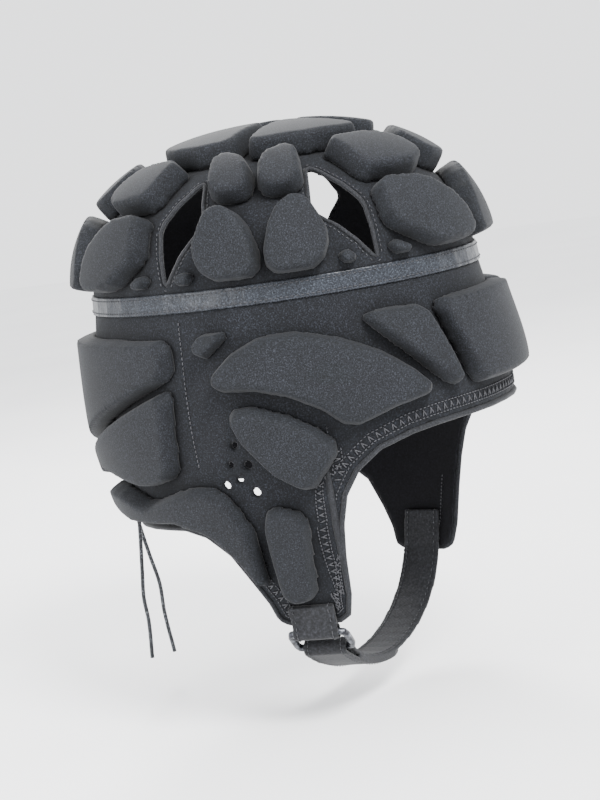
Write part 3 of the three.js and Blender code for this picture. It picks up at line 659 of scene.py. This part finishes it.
def modify(obj: bpy.types.Object, kind: str, **values: object) -> None:
    """Applies one modifier to the active object.

    Args:
        obj: the object, already active.
        kind: the modifier's type.
        **values: its settings.
    """
    modifier = obj.modifiers.new(kind.lower(), kind)
    for key, value in values.items():
        setattr(modifier, key, value)
    bpy.ops.object.modifier_apply(modifier=modifier.name)


def shaped_copy(node: bpy.types.Object, name: str, shaping: Shaping) -> bpy.types.Object:
    """Copies a CAD solid as a rounded dense mesh.

    Args:
        node: the CAD node's object.
        name: the new object's name.
        shaping: how it is remeshed, smoothed and swollen.

    Returns:
        The new object.
    """
    mesh = node.data.copy()
    mesh.transform(node.matrix_world)
    mesh.materials.clear()
    obj = linked(name, mesh)
    bpy.ops.object.mode_set(mode="EDIT")
    bpy.ops.mesh.select_all(action="SELECT")
    bpy.ops.mesh.remove_doubles(threshold=0.01 * MM)
    bpy.ops.object.mode_set(mode="OBJECT")
    modify(obj, "REMESH", mode="VOXEL", voxel_size=shaping.voxel * MM, adaptivity=0.0)
    modify(obj, "SMOOTH", factor=0.5, iterations=shaping.rounds)
    if shaping.swell:
        modify(obj, "DISPLACE", strength=shaping.swell * MM, mid_level=0.0)
    bpy.ops.object.shade_smooth()
    return obj


def soften(obj: bpy.types.Object, rounds: int) -> None:
    """Smooths an object a little more.

    Args:
        obj: the dense object.
        rounds: passes of smoothing.
    """
    activate(obj)
    modify(obj, "SMOOTH", factor=0.5, iterations=rounds)


def poly_curve(
    name: str, lines: list[list[Vector]], radius: float, resolution: int
) -> bpy.types.Object:
    """Makes a round bead along straight runs.

    Args:
        name: the object's name.
        lines: the lines' points in metres.
        radius: the bead's radius in millimetres.
        resolution: how finely the bead is rounded.

    Returns:
        The curve's object.
    """
    curve = bpy.data.curves.new(name, "CURVE")
    curve.dimensions = "3D"
    curve.bevel_depth = radius * MM
    curve.bevel_resolution = resolution
    for line in lines:
        spline = curve.splines.new("POLY")
        spline.points.add(len(line) - 1)
        for point, place in zip(spline.points, line):
            point.co = (*place, 1.0)
    return linked(name, curve)


def run_length(line: Rim) -> float:
    """Returns the length of a rim in metres."""
    return sum((after[0] - before[0]).length for before, after in zip(line, line[1:]))


def sharp_edges(
    bm: bmesh.types.BMesh, obj: bpy.types.Object, degrees: float
) -> list[bmesh.types.BMEdge]:
    """Loads a CAD mesh and finds its sharp edges.

    Args:
        bm: an empty mesh to load it into.
        obj: the CAD object.
        degrees: the smallest angle of a sharp edge.

    Returns:
        The edges.
    """
    bm.from_mesh(obj.data)
    bmesh.ops.remove_doubles(bm, verts=bm.verts, dist=0.02 * MM)
    bm.normal_update()
    limit = math.radians(degrees)
    return [e for e in bm.edges if len(e.link_faces) == 2 and e.calc_face_angle(0.0) >= limit]


def rims(obj: bpy.types.Object, centre: Vector) -> list[Rim]:
    """Finds the rims of a shell on its outer side.

    Args:
        obj: the CAD object of the shell.
        centre: a point inside the hollow.

    Returns:
        For each rim, its points with the direction from each into the cloth.
    """
    bm = bmesh.new()
    rim: dict[int, tuple[bmesh.types.BMEdge, Vector]] = {}
    for edge in sharp_edges(bm, obj, 50):
        middle = (edge.verts[0].co + edge.verts[1].co) / 2
        outward = middle - centre
        if middle.z < centre.z:
            outward.z = 0.0
        outward.normalize()
        face = max(edge.link_faces, key=lambda item: item.normal.dot(outward))
        if face.normal.dot(outward) < 0.35:
            continue
        tangent = (edge.verts[1].co - edge.verts[0].co).normalized()
        inward = face.calc_center_median() - middle
        inward -= tangent * inward.dot(tangent)
        rim[edge.index] = (edge, inward.normalized())
    made: list[Rim] = []
    while rim:
        _, (edge, inward) = rim.popitem()
        start, end = edge.verts
        line = [(start.co.copy(), inward), (end.co.copy(), inward)]
        while end is not start:
            on = next((e for e in end.link_edges if e.index in rim), None)
            if on is None:
                break
            _, inward = rim.pop(on.index)
            end = on.other_vert(end)
            line.append((end.co.copy(), inward))
        made.append(line)
    bm.free()
    return made


def even(line: Rim, pitch: float) -> list[Station]:
    """Spaces stations evenly along a rim.

    Args:
        line: the rim's points with their directions into the cloth.
        pitch: millimetres from station to station.

    Returns:
        (point, direction into the cloth, direction along the rim) for each.
    """
    reach = [0.0]
    for before, after in zip(line, line[1:]):
        reach.append(reach[-1] + (after[0] - before[0]).length)
    count = max(int(reach[-1] / (pitch * MM)), 2)
    made, index = [], 0
    for step in range(count):
        target = reach[-1] * step / count
        while index < len(line) - 2 and reach[index + 1] < target:
            index += 1
        share = (target - reach[index]) / max(reach[index + 1] - reach[index], 1e-9)
        point = line[index][0].lerp(line[index + 1][0], share)
        inward = line[index][1].lerp(line[index + 1][1], share).normalized()
        along = (line[index + 1][0] - line[index][0]).normalized()
        made.append((point, inward, along))
    return made


@dataclass(frozen=True)
class StitchRow:
    """A plain row of stitches beside an edge, in millimetres.

    Attributes:
        pitch: from stitch to stitch.
        inset: from the edge to the row.
        half: half a stitch's length.
        thick: the thread's thickness.
    """

    pitch: float
    inset: float
    half: float
    thick: float

    def span(self, station: Station) -> Span:
        """Returns both ends of the stitch at a station."""
        point, inward, along = station
        here = point + inward * self.inset * MM
        return here - along * self.half * MM, here + along * self.half * MM


@dataclass(frozen=True)
class Overlock:
    """A band of leaning stitches between two rows, in millimetres.

    Attributes:
        near: from the edge to the leaning stitches.
        far: from the edge to their other ends.
        thick: the thread's thickness.
        pitch: from stitch to stitch.
        lean: how far each leans along the edge, to either side in turn.
        border: from the leaning stitches to the rows that bound them.
        half: half the length of a stitch in those rows.
        seam_clear: how near to the seam there are no stitches.
    """

    near: float
    far: float
    thick: float
    pitch: float = 1.7
    lean: float = 1.1
    border: float = 0.7
    half: float = 0.6
    seam_clear: float = 3.5

    def spans(self, line: Rim, seam: float) -> list[Span]:
        """Lays the band along a rim.

        Args:
            line: the rim.
            seam: level of the seam in millimetres.

        Returns:
            Both ends of each stitch.
        """
        made = []
        for index, (point, inward, along) in enumerate(even(line, self.pitch)):
            if abs(point.z - seam * MM) < self.seam_clear * MM:
                continue
            lean = along * (self.lean if index % 2 else -self.lean) * MM
            made.append(
                (point + inward * self.near * MM, point + inward * self.far * MM + lean)
            )
            for row in (self.near - self.border, self.far + self.border):
                edge = point + inward * row * MM
                made.append((edge - along * self.half * MM, edge + along * self.half * MM))
        return made


@dataclass
class Bench:
    """What every sub-assembly works with.

    Attributes:
        nodes: the CAD nodes' objects by name.
        materials: the materials.
        form: the head form.
        centre: a point inside the hollow, in metres.
    """

    nodes: dict[str, bpy.types.Object]
    materials: Materials = field(default_factory=Materials)
    form: HeadForm = field(default_factory=HeadForm)
    centre: Vector = field(default_factory=lambda: Vector((0.0, 0.0, -0.07)))

    def place(self, obj: bpy.types.Object, material: str, slot: Slot, *nodes: str) -> None:
        """Finishes a piece and ties it to the cap.

        Args:
            obj: the piece.
            material: its material's name.
            slot: the record's slot of the piece; not used.
            *nodes: the CAD nodes that it stands for.
        """
        obj.data.materials.clear()
        obj.data.materials.append(self.materials.get(material))
        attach(obj, ROOT)
        if nodes:
            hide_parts(*nodes)
        LOG.info("%s", obj.name)


@dataclass
class Needle:
    """Lays stitches and bound edges on the dense cloths.

    Attributes:
        bench: the shared bench.
        sides: faces round a thread.
        profile: along a stitch, the share of its length, and its width and
            lift as shares of the thread's radius.
        clear: how far a stitch's ends lie off the cloth, as such a share.
        join: ends of a bead nearer than this are joined, in millimetres.
    """

    bench: Bench
    sides: int = 6
    profile: tuple[tuple[float, float, float], ...] = (
        (0.0, 0.45, 0.2),
        (0.2, 0.95, 0.9),
        (0.8, 0.95, 0.9),
        (1.0, 0.45, 0.2),
    )
    clear: float = 0.1
    join: float = 4.0

    def _stitch(
        self, bm: bmesh.types.BMesh, a: Vector, b: Vector, lift: Vector, radius: float
    ) -> None:
        """Adds one stitch to a mesh.

        Args:
            bm: the mesh.
            a: one end.
            b: the other end.
            lift: the direction off the cloth.
            radius: the thread's radius in metres.
        """
        side = (b - a).cross(lift).normalized()
        turns = [2 * math.pi * k / self.sides for k in range(self.sides)]
        rings = []
        for share, width, rise in self.profile:
            middle = a.lerp(b, share) + lift * radius * rise
            reach = radius * width
            around = [side * math.cos(turn) + lift * math.sin(turn) for turn in turns]
            rings.append([bm.verts.new(middle + way * reach) for way in around])
        for low, high in zip(rings, rings[1:]):
            for k in range(self.sides):
                on = (k + 1) % self.sides
                bm.faces.new((low[k], low[on], high[on], high[k]))
        bm.faces.new(rings[0][::-1])
        bm.faces.new(rings[-1])

    def sew(
        self, name: str, ground: bpy.types.Object, spans: list[Span], thick: float, slot: Slot
    ) -> None:
        """Makes one object of many short threads on a surface.

        Args:
            name: the object's name.
            ground: the dense object that carries the thread.
            spans: both ends of each stitch, near the surface, in metres.
            thick: the thread's thickness in millimetres.
            slot: the material slot, passed on to the bench.
        """
        tree = BVHTree.FromObject(ground, bpy.context.evaluated_depsgraph_get())
        bm = bmesh.new()
        radius = thick * MM / 2
        for start, end in spans:
            first, second = tree.find_nearest(start), tree.find_nearest(end)
            if first[0] is None or second[0] is None:
                continue
            lift = (first[1] + second[1]).normalized()
            a = first[0] + lift * radius * self.clear
            b = second[0] + lift * radius * self.clear
            if (b - a).length >= radius:
                self._stitch(bm, a, b, lift, radius)
        bmesh.ops.recalc_face_normals(bm, faces=bm.faces)
        mesh = bpy.data.meshes.new(name)
        bm.to_mesh(mesh)
        bm.free()
        obj = linked(name, mesh)
        bpy.ops.object.shade_smooth()
        self.bench.place(obj, "thread", slot)

    def bind(self, name: str, lines: list[list[Vector]], radius: float) -> None:
        """Makes a soft bound edge along rims.

        Args:
            name: the object's name.
            lines: lines of points in metres.
            radius: the bead's radius in millimetres.
        """
        obj = poly_curve(name, lines, radius, resolution=2)
        for spline, line in zip(obj.data.splines, lines):
            spline.use_cyclic_u = (line[0] - line[-1]).length < self.join * MM
        bpy.ops.object.convert(target="MESH")
        bpy.ops.object.shade_smooth()
        self.bench.place(obj, "binding", Slot.FABRIC)


@dataclass
class Lace:
    """The lace's free ends and its knot, in millimetres.

    Attributes:
        bench: the shared bench.
        points: points along each cord.
        knot_across: the knot's place from the slit's middle.
        knot_row: its share of the flap drop.
        knot_height: its height off the shell.
        knot_down: how far the tails start below its middle, twice over.
        knot_steps: points along the knot's closed run.
    """

    bench: Bench
    points: int = 40
    knot_across: float = 1.5
    knot_row: float = 0.492
    knot_height: float = 4.2
    knot_down: float = 5.4
    knot_steps: int = 96

    def _tube(self, name: str, points: list[Vector]) -> bpy.types.Object:
        """Makes a round cord along points.

        Args:
            name: the object's name.
            points: the cord's points in metres.

        Returns:
            The curve's object.
        """
        tube = poly_curve(name, [points], LACE_DIAMETER / 2, resolution=4)
        tube.data.use_fill_caps = True
        return tube

    def _cord(self, node: str, route: list[Vector], far_end: str, lay: str) -> None:
        """Makes one free cord.

        Args:
            node: the CAD node that it stands for.
            route: the points that it passes, in metres.
            far_end: what is on its far end; not used.
            lay: how it lies; not used.
        """
        points = centripetal(route, self.points)
        cord = self._tube(f"{node}_cord", points)
        self.bench.place(cord, "lace cord", Slot.LACE, node)

    def _knot(self, centre: Vector) -> None:
        """Makes the knot as one closed run that winds through itself.

        Args:
            centre: the knot's middle in metres.
        """
        points = []
        for step in range(self.knot_steps):
            turn = 2 * math.pi * step / self.knot_steps
            reach = 1.75 + 0.75 * math.cos(3 * turn)
            across = reach * 1.05 * math.cos(2 * turn)
            up = reach * 0.8 * math.sin(2 * turn)
            points.append(centre + Vector((across, 0.95 * math.sin(3 * turn), up)) * MM)
        knot = self._tube("lace_knot_cord", points)
        knot.data.splines[0].use_cyclic_u = True
        bpy.ops.object.convert(target="MESH")
        bpy.ops.object.shade_smooth()
        self.bench.place(knot, "lace cord", Slot.LACE, "lace_knot")

    def build(self) -> None:
        """Builds the bow's loop, the two tails and the knot."""
        form = self.bench.form
        loop = [form.rear_point(*row) for row in BOW_LOOP]
        self._cord("lace_bow_loop", loop, "object", "loose")
        centre = form.rear_point(self.knot_across, self.knot_row, self.knot_height)
        start = self.knot_down / 2 + LAY_GAP
        for node, (back, rows) in TAILS.items():
            route = [
                Vector((across * MM, centre.y + back * MM, centre.z - (start + below) * MM))
                for across, below in rows
            ]
            self._cord(node, route, "bare", "hanging")
        self._knot(centre)


@dataclass
class Pads:
    """The raised foam pads.

    Attributes:
        bench: the shared bench.
        crown_height: height of a crown pad in millimetres.
        corner_height: height of a small crown corner pad.
        fill: how full a pad is; not used.
        shaping: how a pad is shaped.
        corner_shaping: how a small pad is shaped.
    """

    bench: Bench
    crown_height: float = 10.0
    corner_height: float = 6.2
    fill: float = 0.85
    shaping: Shaping = Shaping(voxel=1.2, rounds=3, swell=0.95)
    corner_shaping: Shaping = Shaping(voxel=0.7, rounds=2, swell=0.6)

    def _height(self, name: str, node: bpy.types.Object) -> float:
        """Returns a pad's height in millimetres.

        Args:
            name: the CAD node's name.
            node: its object.

        Returns:
            The height of its face over the shell.
        """
        if "corner" in name and not name.startswith("rear_top_corner"):
            return self.corner_height
        on_crown = node.data.vertices[0].co.z > self.bench.form.seam * MM
        return self.crown_height if on_crown else BAND_PAD_HEIGHT

    def build(self) -> None:
        """Builds a pad for each node that is no shell, trim, ring or lace."""
        others = ("lace_", "buckle_", "crown_", "lower_", "chin_", "webbing_")
        for name, node in self.bench.nodes.items():
            if name.startswith(others):
                continue
            shaping = self.corner_shaping if "corner" in name else self.shaping
            pad = shaped_copy(node, f"{name}_foam", shaping)
            self.bench.form.settle(pad, self._height(name, node) + shaping.swell)
            soften(pad, 2)
            self.bench.place(pad, "pad knit", Slot.FOAM, name)


@dataclass
class Shell:
    """One knitted shell with its lining.

    Attributes:
        bench: the shared bench.
        node: the CAD node's name.
        shaping: how it is shaped.
    """

    bench: Bench
    node: str
    shaping: Shaping = Shaping(voxel=1.4, rounds=4, swell=0.1)

    def build(self) -> bpy.types.Object:
        """Builds the shell.

        Returns:
            The dense object, for the stitches on it.
        """
        bench, form = self.bench, self.bench.form
        shell = shaped_copy(bench.nodes[self.node], f"{self.node}_knit", self.shaping)
        form.settle(shell, self.shaping.swell, -form.wall)
        soften(shell, 1)
        bench.place(shell, "shell knit", Slot.FABRIC, self.node)
        shell.data.materials.append(bench.materials.get("lining"))
        for face in shell.data.polygons:
            outward = face.center - bench.centre
            if face.center.z < bench.centre.z:
                outward.z = 0.0
            face.material_index = 1 if face.normal.dot(outward) < -0.3 * outward.length else 0
        return shell


@dataclass
class Trims:
    """The tape, the straps, the laced run and the ring.

    Attributes:
        bench: the shared bench.
        tape: how the tape is shaped.
        strap: how the straps are shaped.
        lace: how the laced run is shaped.
        ring: how the ring is shaped.
    """

    bench: Bench
    tape: Shaping = Shaping(voxel=0.5, rounds=3)
    strap: Shaping = Shaping(voxel=0.65, rounds=3, swell=0.05)
    lace: Shaping = Shaping(voxel=0.38, rounds=3, swell=0.05)
    ring: Shaping = Shaping(voxel=0.4, rounds=4, swell=0.05)

    def build(self) -> dict[str, bpy.types.Object]:
        """Builds the trims.

        Returns:
            The dense objects by CAD node, for the stitches on them.
        """
        bench = self.bench
        rows = (
            ("crown_tape", self.tape, "satin tape", Slot.TAPE),
            ("webbing_tab", self.strap, "webbing", Slot.WEBBING),
            ("chin_strap", self.strap, "webbing", Slot.WEBBING),
            ("lace_laced", self.lace, "lace cord", Slot.LACE),
        )
        made = {}
        for name, shaping, cloth, slot in rows:
            made[name] = shaped_copy(bench.nodes[name], f"{name}_trim", shaping)
            bench.place(made[name], cloth, slot, name)
        ring = shaped_copy(bench.nodes["buckle_ring"], "buckle_ring_cast", self.ring)
        bench.place(ring, "dark ring", Slot.RING, "buckle_ring")
        return made


@dataclass
class Sewing:
    """The stitches and bindings, in millimetres.

    Attributes:
        bench: the shared bench.
        edge: the overlock along the lower shell's edges.
        slit: the overlock along the slit and the crown's rim.
        vent: the row round a vent.
        tape: the rows along the tape.
        strap: the rows along the straps.
        bead_pitch: from point to point of a binding.
        lower_bead: radius of the lower shell's binding.
        crown_bead: radius of the crown's binding.
        hole_run: rims of the lower shell shorter than this are bare holes.
        vent_run: rims of the crown shorter than this are vents.
        seam_turn: the panel seam's turn from the front, in degrees.
        seam_start: from the crown seam down to the panel seam.
        seam_pitch: from stitch to stitch of the panel seam.
        seam_stitch: length of its stitches.
        seam_count: how many it has on each side.
    """

    bench: Bench
    edge: Overlock = Overlock(near=4.4, far=7.4, thick=0.62)
    slit: Overlock = Overlock(near=2.2, far=5.8, thick=0.95)
    vent: StitchRow = StitchRow(pitch=2.2, inset=2.1, half=0.65, thick=0.5)
    tape: StitchRow = StitchRow(pitch=2.3, inset=1.6, half=0.75, thick=0.45)
    strap: StitchRow = StitchRow(pitch=2.4, inset=2.2, half=0.75, thick=0.5)
    bead_pitch: float = 2.5
    lower_bead: float = 1.25
    crown_bead: float = 1.0
    hole_run: float = 100.0
    vent_run: float = 200.0
    seam_turn: float = 99.5
    seam_start: float = 8.0
    seam_pitch: float = 2.2
    seam_stitch: float = 1.5
    seam_count: int = 30

    def _bead(self, line: Rim) -> list[Vector]:
        """Returns the points of a binding along a rim."""
        return [point for point, _, _ in even(line, self.bead_pitch)]

    def _panel_seams(self) -> list[Span]:
        """Returns the stitches of the seam behind each ear."""
        form = self.bench.form
        spans = []
        for side in (-1, 1):
            angle = math.radians(self.seam_turn) * side
            across, back = form.half_width * math.sin(angle), -form.depth * math.cos(angle)
            for step in range(self.seam_count):
                level = form.seam - self.seam_start - step * self.seam_pitch
                place = Vector((across, back, level)) * MM
                spans.append((place, place - Vector((0, 0, self.seam_stitch * MM))))
        return spans

    def _shell_edges(self, crown: bpy.types.Object, lower: bpy.types.Object) -> None:
        """Sews and binds the edges of both shells.

        Args:
            crown: the dense crown.
            lower: the dense lower shell.
        """
        bench, seam, needle = self.bench, self.bench.form.seam, Needle(self.bench)
        lower_rims = [
            line
            for line in rims(bench.nodes["lower_shell"], bench.centre)
            if run_length(line) >= self.hole_run * MM
        ]
        spans = [span for line in lower_rims for span in self.edge.spans(line, seam)]
        spans += self._panel_seams()
        needle.sew("edge_overlock", lower, spans, self.edge.thick, Slot.FABRIC)

        crown_rims = rims(bench.nodes["crown_shell"], bench.centre)
        slit: list[Span] = []
        vent: list[Span] = []
        for line in crown_rims:
            if run_length(line) > self.vent_run * MM:
                slit += self.slit.spans(line, seam)
            else:
                vent += [self.vent.span(station) for station in even(line, self.vent.pitch)]
        needle.sew("slit_overlock", crown, slit, self.slit.thick, Slot.FABRIC)
        needle.sew("vent_stitches", crown, vent, self.vent.thick, Slot.FABRIC)
        needle.bind("lower_binding", [self._bead(line) for line in lower_rims], self.lower_bead)
        needle.bind("crown_binding", [self._bead(line) for line in crown_rims], self.crown_bead)

    def _tape_rows(self, tape: bpy.types.Object) -> None:
        """Sews the rows along the tape.

        Args:
            tape: the dense tape.
        """
        spans = [
            self.tape.span(station)
            for line in rims(self.bench.nodes["crown_tape"], self.bench.centre)
            for station in even(line, self.tape.pitch)
        ]
        Needle(self.bench).sew("tape_stitches", tape, spans, self.tape.thick, Slot.TAPE)

    def _strap_rows(self, name: str, strap: bpy.types.Object) -> None:
        """Sews the rows along a strap's long edges.

        Args:
            name: the strap's CAD node.
            strap: the dense strap.
        """
        row = self.strap
        spans = []
        bm = bmesh.new()
        for edge in sharp_edges(bm, self.bench.nodes[name], 60):
            face = max(edge.link_faces, key=lambda item: item.calc_area())
            start = edge.verts[0].co
            run = edge.verts[1].co - start
            along = run.normalized()
            inward = face.calc_center_median() - (start + edge.verts[1].co) / 2
            inward -= along * inward.dot(along)
            if inward.length < 5 * MM:
                continue
            count = max(int(run.length / (row.pitch * MM)), 1)
            for step in range(count):
                point = start + run * (step + 0.5) / count
                spans.append(row.span((point, inward.normalized(), along)))
        bm.free()
        Needle(self.bench).sew(f"{name}_stitches", strap, spans, row.thick, Slot.WEBBING)

    def build(
        self, crown: bpy.types.Object, lower: bpy.types.Object, trims: dict[str, bpy.types.Object]
    ) -> None:
        """Sews the whole cap.

        Args:
            crown: the dense crown.
            lower: the dense lower shell.
            trims: the dense trims by CAD node.
        """
        self._shell_edges(crown, lower)
        self._tape_rows(trims["crown_tape"])
        for name in ("chin_strap", "webbing_tab"):
            self._strap_rows(name, trims[name])


@dataclass(frozen=True)
class Lamp:
    """One soft light.

    Attributes:
        name: its name.
        place: where it stands, in metres.
        size: its width in metres.
        power: its power in watts.
    """

    name: str
    place: tuple[float, float, float]
    size: float
    power: float


@dataclass
class Studio:
    """The camera, the floor and the light.

    Attributes:
        lens: the camera's focal length in millimetres.
        distance: metres from the camera to its target.
        azimuth: the camera's turn from the front, in degrees.
        elevation: its angle over the target.
        roll: its roll.
        target: what it looks at, in metres.
        floor_level: the floor's height.
        floor_size: the floor's width.
        sky: brightness of the surroundings.
        lamps: the lights.
    """

    lens: float = 85.0
    distance: float = 0.9
    azimuth: float = -62.0
    elevation: float = 8.0
    roll: float = -9.0
    target: tuple[float, float, float] = (0.0, 0.004, -0.119)
    floor_level: float = -0.262
    floor_size: float = 6.0
    sky: float = 2.4
    lamps: tuple[Lamp, ...] = (
        Lamp("key", (-0.55, -0.75, 0.8), 0.4, 36.0),
        Lamp("fill", (-0.95, 0.55, 0.2), 0.6, 9.0),
        Lamp("rim", (0.7, 0.5, 0.7), 0.35, 16.0),
    )

    def aim(self) -> None:
        """Sets up the camera."""
        camera = bpy.data.objects.new("camera", bpy.data.cameras.new("camera"))
        camera.data.lens = self.lens
        bpy.context.scene.collection.objects.link(camera)
        bpy.context.scene.camera = camera
        azimuth, elevation = math.radians(self.azimuth), math.radians(self.elevation)
        across, front = math.sin(azimuth), -math.cos(azimuth)
        level, up = math.cos(elevation), math.sin(elevation)
        back = Vector((across * level, front * level, up))
        camera.location = Vector(self.target) + back * self.distance
        camera.rotation_euler = (-back).to_track_quat("-Z", "Y").to_euler()
        camera.rotation_euler.rotate_axis("Z", math.radians(self.roll))

    def light(self, materials: Materials) -> None:
        """Lays the floor and sets the lights.

        Args:
            materials: the materials.
        """
        place = (0, 0, self.floor_level)
        bpy.ops.mesh.primitive_plane_add(size=self.floor_size, location=place)
        floor = bpy.context.active_object
        floor.name = "studio_floor"
        floor.data.materials.append(materials.get("studio floor"))
        world = bpy.data.worlds.new("studio")
        bpy.context.scene.world = world
        world.use_nodes = True
        sky = world.node_tree.nodes["Background"]
        sky.inputs["Color"].default_value = linear("#f7f8fa")
        sky.inputs["Strength"].default_value = self.sky
        middle = Vector((0, 0, -0.1))
        for lamp in self.lamps:
            light = bpy.data.lights.new(lamp.name, "AREA")
            light.size = lamp.size
            light.energy = lamp.power
            stand = bpy.data.objects.new(lamp.name, light)
            stand.location = lamp.place
            aim = Vector(lamp.place) - middle
            stand.rotation_euler = aim.to_track_quat("Z", "Y").to_euler()
            bpy.context.scene.collection.objects.link(stand)


def main() -> None:
    """Builds the cap and its studio."""
    logging.basicConfig(level=logging.INFO, format="%(message)s")
    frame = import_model()
    bench = Bench(frame["nodes"])
    studio = Studio()
    studio.aim()
    Lace(bench).build()
    Pads(bench).build()
    crown = Shell(bench, "crown_shell").build()
    lower = Shell(bench, "lower_shell").build()
    trims = Trims(bench).build()
    Sewing(bench).build(crown, lower, trims)
    studio.light(bench.materials)


if __name__ == "__main__":
    main()
